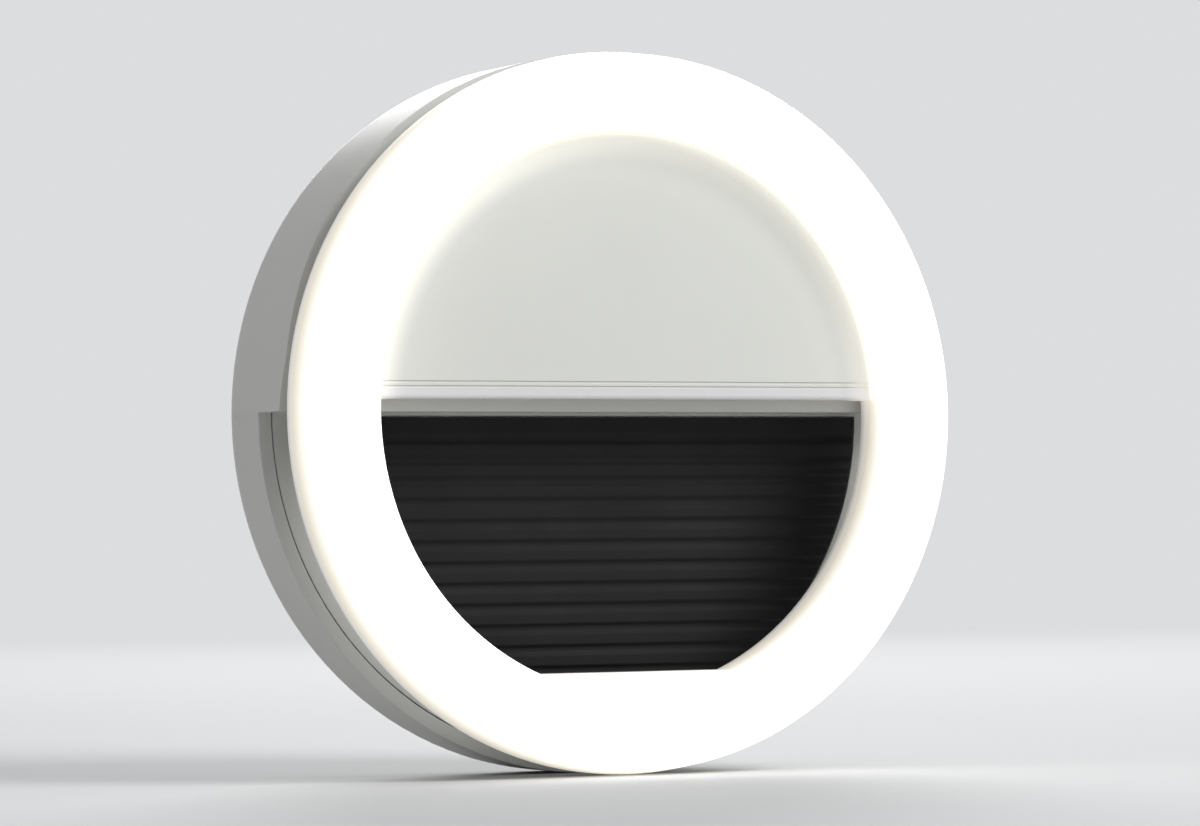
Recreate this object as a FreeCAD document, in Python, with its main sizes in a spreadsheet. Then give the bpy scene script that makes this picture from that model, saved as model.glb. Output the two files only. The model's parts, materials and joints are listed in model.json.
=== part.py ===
import FreeCAD, Part
import math
import os
import re
import Sketcher

# A clip-on ring light for a phone, in millimetres.
# Z is up and the light shines towards -Y. The origin is the ring's centre, on the plane of the
# ring's rear face, where the glass of the phone lies. The light head is the glowing ring with the
# panel in its hole. The rear jaw is a drum behind it that holds the battery and the electronics,
# and it swings on a cross pin as one half of a clothes peg does. It is drawn half open, with its
# back level with the ring, as it stands with a phone of ordinary thickness between the two pads.

# Every size is written once here: its name, its value and what it measures.
SIZES = [
    # Ring and diffuser
    ("ring_radius", 42.5, "outside of the ring at its rear face"),
    ("ring_draft", 0.74, "how much smaller the ring's outside is at its front face"),
    ("ring_depth", 7.0, "rear face to front face of the ring"),
    ("ring_round", 2.0, "rounding of the ring's outer front edge"),
    ("ring_width", 9.4, "width of the ring, from its outside to its hole"),
    ("foot_rise", 2.6, "flat at the foot of the hole, above the lowest point of its circle"),
    ("hole_round", 1.9, "rounding of the front edge of the hole"),
    ("foot_root", 0.8, "how far the solid below the flat goes down into the ring"),
    ("foot_lap", 0.3, "that solid's lap into the ring at either end of the flat"),
    ("side_wall", 1.3, "thinnest side wall of the diffuser"),
    ("front_wall", 1.6, "front wall of the diffuser"),
    # Rear shell of the ring
    ("shell_depth", 1.6, "thickness of the ring's rear shell and of its web"),
    ("shell_edge", 0.4, "rounding of the shell's rear outer edge"),
    ("rim_wall", 0.8, "thickness of the shell's two locating rims"),
    ("rim_height", 1.2, "height of the locating rims"),
    ("snap_gap", 0.1, "play of the rims in the diffuser, and of the panel in the hole"),
    ("web_foot", 1.5, "lower edge of the web and the panel, above the ring's centre"),
    # Lamp board
    ("lamp_board_gap", 0.2, "gap between the lamp board and the rims"),
    ("lamp_board_depth", 1.0, "thickness of the lamp board"),
    ("lamp_count", 36, "lamps on the board"),
    ("lamp_long", 3.5, "lamp along the ring"),
    ("lamp_wide", 2.8, "lamp across the ring"),
    ("lamp_high", 0.8, "height of a lamp"),
    ("resistor_count", 12, "resistors, one to three lamps"),
    ("resistor_long", 2.0, "resistor across the ring"),
    ("resistor_wide", 1.25, "resistor along the ring"),
    ("resistor_high", 0.6, "height of a resistor"),
    # Front panel
    ("panel_front", 3.0, "panel's front face, in front of the ring's rear face"),
    ("panel_edge", 0.5, "rounding of the panel's lower front edge"),
    ("groove_low", 2.95, "height of the lower fine groove in the panel"),
    ("groove_high", 3.5, "height of the upper fine groove"),
    ("groove_wide", 0.22, "width of a fine groove"),
    ("groove_deep", 0.1, "depth of a fine groove"),
    ("panel_screw_inset", 4.3, "panel screws, inside the edge of the hole"),
    ("panel_low_angle", 56.0, "lower panel screws, in degrees from the top"),
    ("panel_high_angle", 20.0, "upper panel screws, in degrees from the top"),
    ("panel_screw_shank", 0.7, "radius of a panel screw's shank"),
    ("panel_screw_bite", 1.0, "how far a panel screw goes into the panel"),
    ("panel_screw_head", 1.4, "radius of a panel screw's head"),
    ("panel_screw_top", 0.6, "height of a panel screw's head"),
    ("panel_screw_sunk", 0.1, "how far its head lies below the web's rear face"),
    ("head_play", 0.2, "play round a screw's head in its counterbore"),
    # Hinge
    ("hinge_depth", 3.0, "pin's axis, behind the ring's rear face"),
    ("hinge_height", 6.5, "pin's axis, above the ring's centre"),
    ("hinge_half", 22.0, "outer face of the outer ears, from the middle"),
    ("knuckle_radius", 2.6, "outside of the ears and knuckles"),
    ("ear_wide", 3.0, "width of an ear of the light head"),
    ("knuckle_wide", 3.6, "width of an outer knuckle of the jaw"),
    ("middle_half", 1.4, "half the width of the jaw's middle knuckle"),
    ("knuckle_gap", 0.4, "side play between an ear and a knuckle"),
    ("ear_root", 0.6, "how far the ears are rooted in the web"),
    ("pin_radius", 1.0, "steel hinge pin"),
    ("pin_play", 0.05, "radial play of the pin in the knuckles"),
    ("pin_short", 0.15, "how far each end of the pin stops inside its ear"),
    # Springs
    ("wire_radius", 0.4, "spring wire"),
    ("coil_play", 0.45, "play of the coil round the pin"),
    ("coil_turns", 5, "whole turns of the coil, beside the half turn between its legs"),
    ("coil_beside", 1.1, "room beside the coil, at either end"),
    ("leg_length", 8.0, "straight leg of a spring"),
    ("leg_touch", 0.03, "gap between a leg and its seat"),
    # Gap between the light head and the drum
    ("seam_gap", 0.6, "drum's front edge at the height of the pin, behind the ring"),
    ("pinch_angle", 6.8, "slope of the drum's front above the pin, in degrees"),
    ("relief_angle", 9.9, "slope of the drum's front below the pin, in degrees"),
    ("stop_height", 0.2, "ceiling of the jaw, above the ring's centre"),
    ("jaw_depth", 7.8, "front face of the jaw plate, behind the ring's rear face"),
    # Drum
    ("drum_proud", 0.1, "how far the rear drum stands out past the ring all round"),
    ("drum_wall", 1.6, "side wall of the drum"),
    ("drum_depth", 10.4, "front face of the jaw plate to the back of the drum"),
    ("back_wall", 1.8, "wall of the drum's back"),
    ("drum_round", 3.0, "rounding of the drum's rear edge"),
    ("cavity_round", 1.4, "rounding inside that edge"),
    ("dish_radius", 30.0, "shallow dish in the drum's back"),
    ("dish_deep", 0.6, "depth of the dish"),
    ("dish_round", 0.5, "rounding of the dish's edge"),
    # Jaw plate
    ("plate_gap", 0.15, "gap between the jaw plate and the drum's wall"),
    ("plate_wall", 1.6, "thickness of the jaw plate"),
    ("tub_beside", 1.0, "room in the hinge's recess beside the outer ears"),
    ("tub_below", 1.5, "room in the recess below the knuckles"),
    ("tub_above", 3.0, "room in the recess above the spring legs"),
    ("tub_behind", 0.6, "room in the recess behind the ears"),
    # Pads
    ("pad_top", 0.3, "upper edge of both pads, below the ring's centre"),
    ("pad_sunk", 0.4, "depth of the recess that each pad is stuck in"),
    ("pad_gap", 0.15, "gap round a pad in its recess"),
    ("ring_pad_thick", 0.8, "thickness of the pad on the ring"),
    ("ring_pad_in", 1.7, "pad on the ring, from the edge of the hole"),
    ("ring_pad_out", 2.1, "pad on the ring, from the ring's outside"),
    ("jaw_pad_thick", 0.8, "thickness of the pad on the jaw, with its ribs"),
    ("jaw_pad_edge", 4.35, "pad on the jaw, from the edge of the jaw plate"),
    ("rib_count", 13, "grooves between the jaw pad's ribs"),
    ("rib_pitch", 2.5, "spacing of the ribs"),
    ("rib_first", 2.9, "first groove, below the ring's centre"),
    ("rib_groove", 1.2, "width of a groove between two ribs"),
    ("rib_deep", 0.3, "depth of a groove between two ribs"),
    # Screws of the jaw plate
    ("jaw_top_angle", 47.2, "upper screws, in degrees from the top"),
    ("jaw_low_angle", 115.0, "lower screws, in degrees from the top"),
    ("boss_inset", 1.3, "upper screws' bosses, from the drum's wall"),
    ("jaw_screw_edge", 1.5, "lower screws' heads, from the edge of the pad that covers them"),
    ("head_sunk", 0.7, "front of the screws' heads, behind the face of the jaw plate"),
    ("jaw_head_radius", 1.7, "head of a jaw screw"),
    ("jaw_head_high", 1.0, "height of that head"),
    ("jaw_shank_radius", 0.9, "shank of a jaw screw"),
    ("jaw_shank_long", 5.4, "length of the shank"),
    ("shank_play", 0.2, "play of a shank in the plate it holds down"),
    ("boss_radius", 2.9, "bosses for the jaw screws"),
    ("boss_floor", 1.6, "plate left under the head of a jaw screw"),
    # Control board
    ("board_edge", 2.8, "edges of the control board, from the middles of its posts"),
    ("board_thick", 1.0, "thickness of the control board"),
    ("post_long", 5.2, "posts, from the inside of the drum's back to the board"),
    ("post_left", 12.0, "left posts, from the middle"),
    ("post_right", 26.0, "right posts, from the middle"),
    ("post_low", 6.2, "height of the lower posts"),
    ("post_high", 16.3, "height of the upper posts"),
    ("post_radius", 2.0, "posts that carry the control board"),
    ("board_shank", 0.7, "shank of a board screw"),
    ("board_shank_long", 3.6, "length of that shank behind the board"),
    ("board_head", 1.4, "head of a board screw"),
    ("board_head_high", 0.8, "height of that head"),
    # Charging socket
    ("usb_height", 11.0, "middle of the socket, above the ring's centre"),
    ("usb_gap", 0.1, "mouth of the socket, inside the drum's wall"),
    ("usb_over", 2.6, "how far the socket stands out past the board's edge"),
    ("usb_long", 5.3, "depth of the socket"),
    ("usb_wide", 7.5, "width of the socket"),
    ("usb_high", 2.6, "height of the socket"),
    ("usb_sheet", 0.3, "sheet that the socket is folded from"),
    ("usb_hollow", 4.6, "depth of the socket's hollow"),
    ("tongue_wide", 4.8, "width of the contact tongue"),
    ("tongue_thick", 0.6, "thickness of the tongue"),
    ("tongue_long", 3.6, "length of the tongue"),
    ("port_gap", 0.5, "room round the socket in the opening of the drum's wall"),
    # Button and switch
    ("button_height", 11.0, "middle of the button, above the ring's centre"),
    ("button_radius", 4.5, "cap of the button"),
    ("button_gap", 0.3, "gap round the cap, and behind its flange"),
    ("button_proud", 0.4, "how far the cap stands out of the dish"),
    ("button_round", 0.35, "rounding of the cap"),
    ("flange_over", 0.9, "flange that keeps the button in, past the cap all round"),
    ("flange_thick", 0.7, "thickness of the flange"),
    ("switch_wide", 6.0, "side of the push switch"),
    ("switch_high", 3.2, "height of the switch's case"),
    ("plunger_radius", 1.7, "plunger of the switch"),
    ("plunger_play", 0.05, "radial play of the plunger in the case"),
    ("plunger_in", 1.2, "how far the plunger reaches into the case at rest"),
    ("plunger_room", 0.9, "room left below the plunger"),
    # Indicator
    ("indicator_out", 11.0, "indicator, to the right of the middle"),
    ("chip_long", 1.6, "indicator lamp, long side"),
    ("chip_wide", 0.8, "indicator lamp, short side"),
    ("chip_high", 0.7, "indicator lamp, height"),
    ("pipe_radius", 1.0, "light pipe"),
    ("pipe_play", 0.05, "radial play of the light pipe in the drum's back"),
    ("pipe_gap", 0.4, "gap between the indicator lamp and its pipe"),
    ("pipe_flange", 1.8, "flange of the light pipe"),
    ("pipe_flange_thick", 0.9, "thickness of that flange"),
    # Components on the control board
    ("charger_left", 15.5, "charging chip, left edge"),
    ("charger_low", 12.0, "charging chip, lower edge"),
    ("charger_long", 5.0, "charging chip, long side"),
    ("charger_wide", 4.0, "charging chip, short side"),
    ("charger_high", 1.5, "charging chip, height"),
    ("driver_left", 22.5, "lamp driver, left edge"),
    ("driver_low", 10.0, "lamp driver, lower edge"),
    ("driver_side", 3.0, "lamp driver, side"),
    ("driver_high", 1.1, "lamp driver, height"),
    ("can_out", 17.5, "capacitor, to the right of the middle"),
    ("can_height", 7.4, "middle of the capacitor, above the ring's centre"),
    ("can_radius", 2.0, "capacitor"),
    ("can_long", 4.4, "height of the capacitor"),
    ("plug_left", 11.2, "battery connector, left edge, from the middle"),
    ("plug_wide", 6.0, "width of the battery connector"),
    ("plug_low", 8.6, "lower edge of the battery connector"),
    ("plug_tall", 4.0, "connector, foot to top"),
    ("plug_high", 2.8, "height of the connector off the board"),
    # Battery
    ("battery_half", 19.0, "half the width of the battery"),
    ("battery_top", 5.0, "top of the battery, below the ring's centre"),
    ("battery_room", 2.9, "lower corners of the battery, from the drum's wall"),
    ("battery_thick", 4.8, "thickness of the battery"),
    ("battery_round", 1.2, "rounding of the battery's long edges"),
    ("tape_thick", 0.3, "sticky tape behind the battery"),
    ("tape_inset", 5.0, "tape's edges, inside the battery's"),
    # Leads
    ("lead_radius", 0.45, "insulated lead"),
    ("lead_split", 0.25, "half the gap between the two parts of a lamp lead, at the pin's axis"),
    ("lead_spread", 0.6, "half the spacing of a pair of leads"),
    ("lead_hole_ring", 1.5, "hole for the lamp leads in the ring's rear shell"),
    ("lead_hole_jaw", 2.2, "hole for the lamp leads in the jaw plate"),
    ("lead_run", 4.3, "lamp leads, first run behind the pin's axis"),
    ("lead_step", 3.6, "lamp leads, step towards the middle"),
    ("lead_end", 1.5, "lamp leads, last run to the control board"),
    ("tail_run", 3.4, "battery leads, straight run out of the battery"),
    ("tail_end", 3.0, "battery leads, straight run into the connector"),
    ("tail_left", 9.2, "battery leads, left lead at the battery, from the middle"),
    ("tail_bow", 1.1, "battery leads, step sideways on the way to the connector"),
    ("tail_spacing", 2.0, "spacing of the battery leads"),
]

SHEET = "sizes"
FAR = "3 * ring_radius"
FULL_TURN = 360
ONE_TURN = 2 * math.pi
STEPS_PER_TURN = 4
KEEP_BEND = 0.45
GAP_STEPS = 24
LEAST_GAP = 0.4

doc = FreeCAD.newDocument("ring_light")
sheet = doc.addObject("Spreadsheet::Sheet", SHEET)
NUMBER = {}
for row, (alias, value, meaning) in enumerate(SIZES, 1):
    sheet.set(f"A{row}", str(value))
    sheet.setAlias(f"A{row}", alias)
    sheet.set(f"B{row}", meaning)
    NUMBER[alias] = value
doc.recompute()


def bound(text):
    """A formula on the size names, as the document writes it."""
    return re.sub(r"[a-z_]+", lambda word: f"{SHEET}.{word[0]}" if word[0] in NUMBER else word[0], text)


def size(text):
    """The value of a formula on the size names."""
    return float(sheet.evalExpression(bound(text)))


# Places and sizes that follow from the ones above

NOSE = "(ring_radius - ring_draft)"
HOLE = "(ring_radius - ring_width)"
FOOT = f"({HOLE} - foot_rise)"
CHANNEL_IN = f"({HOLE} + side_wall)"
CHANNEL_OUT = f"({NOSE} - side_wall)"
LAMP_CIRCLE = f"(({CHANNEL_IN} + {CHANNEL_OUT}) / 2)"
LEAD_PLACE = f"sqrt({LAMP_CIRCLE} ^ 2 - hinge_height ^ 2)"
INNER_EAR = "(hinge_half - 2 * ear_wide - knuckle_wide - 2 * knuckle_gap)"
DRUM = "(ring_radius + drum_proud)"
CAVITY = f"({DRUM} - drum_wall)"
PLATE = f"({CAVITY} - plate_gap)"
JAW_PAD = f"({PLATE} - jaw_pad_edge)"
TUB_HALF = "(hinge_half + tub_beside)"
TUB_LOW = "(hinge_height - knuckle_radius - tub_below)"
TUB_HIGH = "(hinge_height + leg_length + tub_above)"
TUB_FLOOR = "(hinge_depth + knuckle_radius + tub_behind)"
BACK = "(jaw_depth + drum_depth)"
DISH = f"({BACK} - dish_deep)"
BACK_INSIDE = f"({BACK} - back_wall)"
BOARD_BACK = f"({BACK_INSIDE} - post_long)"
BOARD_FRONT = f"({BOARD_BACK} - board_thick)"
USB_MOUTH = f"(sqrt({CAVITY} ^ 2 - (usb_height + usb_wide / 2) ^ 2) - usb_gap)"
BATTERY_FOOT = f"sqrt(({CAVITY} - battery_room) ^ 2 - battery_half ^ 2)"
FLANGE_FRONT = f"({BACK_INSIDE} - button_gap - flange_thick)"


# Sketches and features

def new_body(label):
    body = doc.addObject("PartDesign::Body", label)
    body.Label = label
    body.AllowCompound = True
    return body


def new_sketch(body, plane, depth):
    """A sketch on the body's XZ plane, at Y = depth, or on its YZ plane, at X = depth."""
    sketch = body.newObject("Sketcher::SketchObject", "outline")
    origin = [item for item in body.Origin.OriginFeatures if item.Role == plane]
    sketch.AttachmentSupport = [(origin[0], "")]
    sketch.MapMode = "FlatFace"
    sign = "-" if plane == "XZ_Plane" else ""
    sketch.setExpression("AttachmentOffset.Base.z", bound(f"{sign}({depth})"))
    return sketch


def fix(sketch, kind, *where_and_text):
    """One sketch dimension, tied to the sheet."""
    *where, text = where_and_text
    number = sketch.addConstraint(Sketcher.Constraint(kind, *where, 1.0))
    sketch.setExpression(f"Constraints[{number}]", bound(text))


def polygons(body, plane, depth, *outlines):
    """Closed outlines. Each corner is tied to the sketch's origin by two dimensions."""
    sketch = new_sketch(body, plane, depth)
    for corners in outlines:
        first = sketch.GeometryCount
        count = len(corners)
        start = [FreeCAD.Vector(math.cos(turn), math.sin(turn), 0)
                 for turn in (ONE_TURN * place / count for place in range(count))]
        for place in range(count):
            sketch.addGeometry(Part.LineSegment(start[place], start[(place + 1) % count]), False)
        for place in range(count):
            follower = first + (place + 1) % count
            sketch.addConstraint(Sketcher.Constraint("Coincident", first + place, 2, follower, 1))
        for place, (across, up) in enumerate(corners):
            fix(sketch, "DistanceX", -1, 1, first + place, 1, across)
            fix(sketch, "DistanceY", -1, 1, first + place, 1, up)
    return sketch


def rectangle(low, foot, high, top):
    return [(low, foot), (high, foot), (high, top), (low, top)]


def circles(body, plane, depth, *rounds):
    """Circles, each given as across, up and radius."""
    sketch = new_sketch(body, plane, depth)
    for number, (across, up, radius) in enumerate(rounds):
        sketch.addGeometry(Part.Circle(FreeCAD.Vector(number, 0, 0), FreeCAD.Vector(0, 0, 1), 1), False)
        fix(sketch, "DistanceX", -1, 1, number, 3, across)
        fix(sketch, "DistanceY", -1, 1, number, 3, up)
        fix(sketch, "Radius", number, radius)
    return sketch


def feature(body, kind, sketch, length=None, back=False, both=False):
    """A pad or a pocket of a sketch, through everything if no length is given."""
    made = body.newObject("PartDesign::" + kind, kind.lower())
    made.Profile = sketch
    made.Midplane = both
    if length is None:
        made.Type = "ThroughAll"
    else:
        made.setExpression("Length", bound(length))
    made.Reversed = back
    return made


def pad(body, sketch, length, back=True, both=False):
    """Material. back is +Y from an XZ sketch and -X from a YZ one, and both is half each way."""
    return feature(body, "Pad", sketch, length, back, both)


def pocket(body, sketch, length=None, back=True, both=False):
    """A cut, turned as a pad is: back is +Y from an XZ sketch and -X from a YZ one."""
    return feature(body, "Pocket", sketch, length, not back, both)


def revolve(body, sketch):
    """The outline turned once round the Y axis."""
    made = body.newObject("PartDesign::Revolution", "turned")
    made.Profile = sketch
    made.ReferenceAxis = (sketch, ["H_Axis"])
    made.Angle = FULL_TURN
    return made


def round_edges(body, radius, test):
    """A fillet on each edge that the test picks from the body as built so far."""
    doc.recompute()
    solid = body.Tip
    names = [f"Edge{number}" for number, edge in enumerate(solid.Shape.Edges, 1) if test(edge)]
    made = body.newObject("PartDesign::Fillet", "rounded")
    made.Base = (solid, names)
    made.setExpression("Radius", bound(radius))
    return made


def ring_of(body, base, count):
    """Copies of a feature spread evenly round the Y axis."""
    made = body.newObject("PartDesign::PolarPattern", "ring_of")
    made.Originals = [base]
    axis = [item for item in body.Origin.OriginFeatures if item.Role == "Y_Axis"]
    made.Axis = (axis[0], [""])
    made.Angle = FULL_TURN
    made.setExpression("Occurrences", bound(count))
    body.Tip = made
    return made


def at_depth(depth, low=0.0, high=math.inf):
    """A test for edges that lie in one XZ plane, with every end between two radii."""
    def test(edge):
        ends = [edge.valueAt(place) for place in edge.ParameterRange]
        level = all(abs(point.y - depth) < 1e-4 for point in ends)
        middle = edge.valueAt((edge.FirstParameter + edge.LastParameter) / 2)
        radii = [math.hypot(point.x, point.z) for point in (*ends, middle)]
        return level and abs(middle.y - depth) < 1e-4 and low <= min(radii) and max(radii) <= high
    return test


def level_edge(depth, height):
    """A test for straight edges in one XZ plane, at one height."""
    def test(edge):
        ends = [edge.valueAt(place) for place in edge.ParameterRange]
        return at_depth(depth)(edge) and all(abs(point.z - height) < 1e-4 for point in ends)
    return test


# Primitives

def place(item, across, depth, up, turn=None):
    if turn:
        item.Placement = FreeCAD.Placement(FreeCAD.Vector(), turn)
    for axis, text in zip("xyz", (across, depth, up)):
        item.setExpression("Placement.Base." + axis, bound(text))
    return item


def block(label, low, high):
    """A box between two corners."""
    item = doc.addObject("Part::Box", label)
    item.Label = label
    for side, start, end in zip(("Length", "Width", "Height"), low, high):
        item.setExpression(side, bound(f"({end}) - ({start})"))
    return place(item, *low)


def rod(label, radius, start, end, across, up):
    """A round rod along Y."""
    item = doc.addObject("Part::Cylinder", label)
    item.Label = label
    item.setExpression("Radius", bound(radius))
    item.setExpression("Height", bound(f"({end}) - ({start})"))
    along_y = FreeCAD.Rotation(FreeCAD.Vector(1, 0, 0), -90)
    return place(item, across, start, up, along_y)


def joined(label, kind, items):
    item = doc.addObject("Part::" + kind, label)
    item.Label = label
    if kind == "Cut":
        item.Base, item.Tool = items
    else:
        item.Shapes = items
    return item


# Light head

def make_diffuser():
    """The opal front of the ring: a channel with rounded front edges and a flat at its foot."""
    ring = new_body("diffuser_ring")
    outline = [("-shell_depth", "0"), ("-shell_depth", "ring_radius"),
               ("-ring_depth", NOSE), ("-ring_depth", "0")]
    revolve(ring, polygons(ring, "YZ_Plane", "0", outline))
    front = -size("ring_depth")
    round_edges(ring, "ring_round", at_depth(front))
    pocket(ring, circles(ring, "XZ_Plane", "-ring_depth", ("0", "0", HOLE)))
    round_edges(ring, "hole_round", at_depth(front, 0, size(f"{HOLE} + foot_lap")))
    foot = new_body("diffuser_foot")
    straight = f"{HOLE} + hole_round"
    pad(foot, polygons(foot, "XZ_Plane", "-ring_depth", foot_outline(straight)), "ring_depth - shell_depth")
    round_edges(foot, "hole_round", level_edge(front, -size(FOOT)))
    solid = joined("diffuser_solid", "MultiFuse", [ring, foot])
    reach = ("front_wall - ring_depth", "0", "0", "0")
    outer = rod("channel_outer", CHANNEL_OUT, *reach)
    inner = rod("channel_inner", CHANNEL_IN, *reach)
    return joined("diffuser", "Cut", (solid, joined("channel", "Cut", (outer, inner))))


def foot_outline(radius):
    """The block that makes the flat, out to where the flat's height meets a circle."""
    half = f"(sqrt(({radius}) ^ 2 - {FOOT} ^ 2) + foot_lap)"
    return rectangle(f"-{half}", f"-{HOLE} - foot_root", half, f"-{FOOT}")


def ear_spans():
    """The light head's ears, as the X of their two faces."""
    for start in ("hinge_half - ear_wide", INNER_EAR):
        yield start, f"{start} + ear_wide"
        yield f"-({start} + ear_wide)", f"-({start})"


def knuckle_spans():
    """The jaw's knuckles, the same way."""
    start = "hinge_half - ear_wide - knuckle_gap - knuckle_wide"
    yield start, f"{start} + knuckle_wide"
    yield f"-({start} + knuckle_wide)", f"-({start})"
    yield "-middle_half", "middle_half"


def add_barrels(body, spans, start, reach, radius):
    """Blocks from Y = start, each ending in a barrel round the pin's axis, and a bore through them."""
    spans = list(spans)
    foot, top = "hinge_height - knuckle_radius", "hinge_height + knuckle_radius"
    stems = [rectangle(low, foot, high, top) for low, high in spans]
    pad(body, polygons(body, "XZ_Plane", start, *stems), reach)
    for low, high in spans:
        barrel = circles(body, "YZ_Plane", low, ("hinge_depth", "hinge_height", "knuckle_radius"))
        pad(body, barrel, f"({high}) - ({low})", back=False)
    bore = circles(body, "YZ_Plane", f"-{TUB_HALF}", ("hinge_depth", "hinge_height", radius))
    pocket(body, bore, f"2 * {TUB_HALF}", back=False)


def on_circle(radius, angle):
    """Two places on a circle, mirrored, at an angle from its top."""
    for sign in ("-", ""):
        yield f"{sign}{radius} * sin({angle})", f"{radius} * cos({angle})"


def panel_screw_places():
    for angle in ("panel_low_angle", "panel_high_angle"):
        yield from on_circle(f"({HOLE} - panel_screw_inset)", angle)


def rounds(places, radius):
    return [(across, up, radius) for across, up in places]


def ring_pad_space(label, gap):
    """The C-shaped strip on the rear of the ring, grown sideways by a gap."""
    outer = rod(label + "_outer", f"ring_radius - ring_pad_out + {gap}", "-pad_sunk",
                "ring_pad_thick - pad_sunk", "0", "0")
    inner = rod(label + "_inner", f"{HOLE} + ring_pad_in - {gap}", "-ring_depth", "ring_depth", "0", "0")
    above = block(label + "_above", ("-ring_radius", "-ring_depth", f"-pad_top + {gap}"),
                  ("ring_radius", "ring_depth", "ring_radius"))
    middle = joined(label + "_middle", "MultiFuse", [inner, above])
    return joined(label, "Cut", (outer, middle))


def make_ring_rear_shell():
    """The ring's rear half, with the web behind the panel and the ears of the hinge."""
    body = new_body("ring_rear_shell_blank")
    web = circles(body, "XZ_Plane", "-shell_depth", ("0", "0", CHANNEL_IN))
    pad(body, web, "shell_depth")
    below = rectangle("-ring_radius", "-ring_radius", "ring_radius", "web_foot")
    pocket(body, polygons(body, "XZ_Plane", "-shell_depth", below))
    ring = circles(body, "XZ_Plane", "-shell_depth", ("0", "0", "ring_radius"), ("0", "0", HOLE))
    pad(body, ring, "shell_depth")
    pad(body, polygons(body, "XZ_Plane", "-shell_depth", foot_outline(HOLE)), "shell_depth")
    round_edges(body, "shell_edge", at_depth(0, size("ring_radius - shell_edge")))
    outer, inner = f"{CHANNEL_OUT} - snap_gap", f"{CHANNEL_IN} + snap_gap"
    for low, high in ((f"{outer} - rim_wall", outer), (inner, f"{inner} + rim_wall")):
        rim = circles(body, "XZ_Plane", "-shell_depth", ("0", "0", high), ("0", "0", low))
        pad(body, rim, "rim_height", back=False)
    add_barrels(body, ear_spans(), "-ear_root", "hinge_depth + ear_root", "pin_radius")
    heads = rounds(panel_screw_places(), "panel_screw_head + head_play")
    pocket(body, circles(body, "XZ_Plane", "-panel_screw_sunk - panel_screw_top", *heads))
    shanks = rounds(panel_screw_places(), "panel_screw_shank")
    pocket(body, circles(body, "XZ_Plane", "-shell_depth", *shanks), "shell_depth")
    pocket(body, circles(body, "XZ_Plane", "-shell_depth", (LEAD_PLACE, "hinge_height", "lead_hole_ring")))
    return joined("ring_rear_shell", "Cut", (body, ring_pad_space("ring_pad_recess", "pad_gap")))


def make_front_pad():
    return ring_pad_space("front_pad", "0")


def make_led_board():
    body = new_body("led_board")
    rim = "(snap_gap + rim_wall + lamp_board_gap)"
    edges = circles(body, "XZ_Plane", "-shell_depth", ("0", "0", f"{CHANNEL_OUT} - {rim}"),
                    ("0", "0", f"{CHANNEL_IN} + {rim}"))
    pad(body, edges, "lamp_board_depth", back=False)
    return body


def on_lamp_board(label, across, along, high, count, shift):
    """Like pieces round the lamp board. shift is the first one's turn from the top, in degrees."""
    body = new_body(label)
    turn = f"({shift})"
    outline = []
    for side, end in ((-1, -1), (1, -1), (1, 1), (-1, 1)):
        out = f"({LAMP_CIRCLE} + {side} * {across} / 2)"
        step = f"({end} * {along} / 2)"
        outline.append((f"{out} * sin({turn}) + {step} * cos({turn})",
                        f"{out} * cos({turn}) - {step} * sin({turn})"))
    face = "-shell_depth - lamp_board_depth"
    first = pad(body, polygons(body, "XZ_Plane", face, outline), high, back=False)
    ring_of(body, first, count)
    return body


def make_led_chips():
    return on_lamp_board("led_chips", "lamp_wide", "lamp_long", "lamp_high", "lamp_count", "0")


def make_led_resistors():
    return on_lamp_board("led_resistors", "resistor_long", "resistor_wide", "resistor_high",
                         "resistor_count", "180 / lamp_count")


def make_front_panel():
    """The half-round panel in the upper part of the hole, with two fine grooves over its lower edge."""
    body = new_body("front_panel")
    disc = circles(body, "XZ_Plane", "-panel_front", ("0", "0", f"{HOLE} - snap_gap"))
    pad(body, disc, "panel_front - shell_depth")
    below = rectangle("-ring_radius", "-ring_radius", "ring_radius", "web_foot")
    pocket(body, polygons(body, "XZ_Plane", "-panel_front", below))
    round_edges(body, "panel_edge", level_edge(-size("panel_front"), size("web_foot")))
    for height in ("groove_low", "groove_high"):
        line = rectangle("-ring_radius", f"{height} - groove_wide / 2",
                         "ring_radius", f"{height} + groove_wide / 2")
        pocket(body, polygons(body, "XZ_Plane", "-panel_front", line), "groove_deep")
    bores = rounds(panel_screw_places(), "panel_screw_shank")
    pocket(body, circles(body, "XZ_Plane", "-shell_depth", *bores), "panel_screw_bite", back=False)
    return body


def make_panel_screws():
    body = new_body("panel_screws")
    head_front = "-panel_screw_sunk - panel_screw_top"
    shanks = circles(body, "XZ_Plane", head_front, *rounds(panel_screw_places(), "panel_screw_shank"))
    pad(body, shanks, "shell_depth - panel_screw_sunk - panel_screw_top + panel_screw_bite", back=False)
    heads = circles(body, "XZ_Plane", head_front, *rounds(panel_screw_places(), "panel_screw_head"))
    pad(body, heads, "panel_screw_top")
    return body


def make_hinge_pin():
    body = new_body("hinge_pin")
    half = "(hinge_half - pin_short)"
    pad(body, circles(body, "YZ_Plane", f"-{half}", ("hinge_depth", "hinge_height", "pin_radius")),
        f"2 * {half}", back=False)
    return body


# Wound and bent pieces

def arc_through(start, corner, end):
    """The arc that leaves start towards corner and arrives at end from it."""
    weight = start.distanceToPoint(end) / (2 * start.distanceToPoint(corner))
    middle = (start + corner * (2 * weight) + end) * (1 / (2 + 2 * weight))
    return Part.Arc(start, middle, end).toShape()


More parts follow.
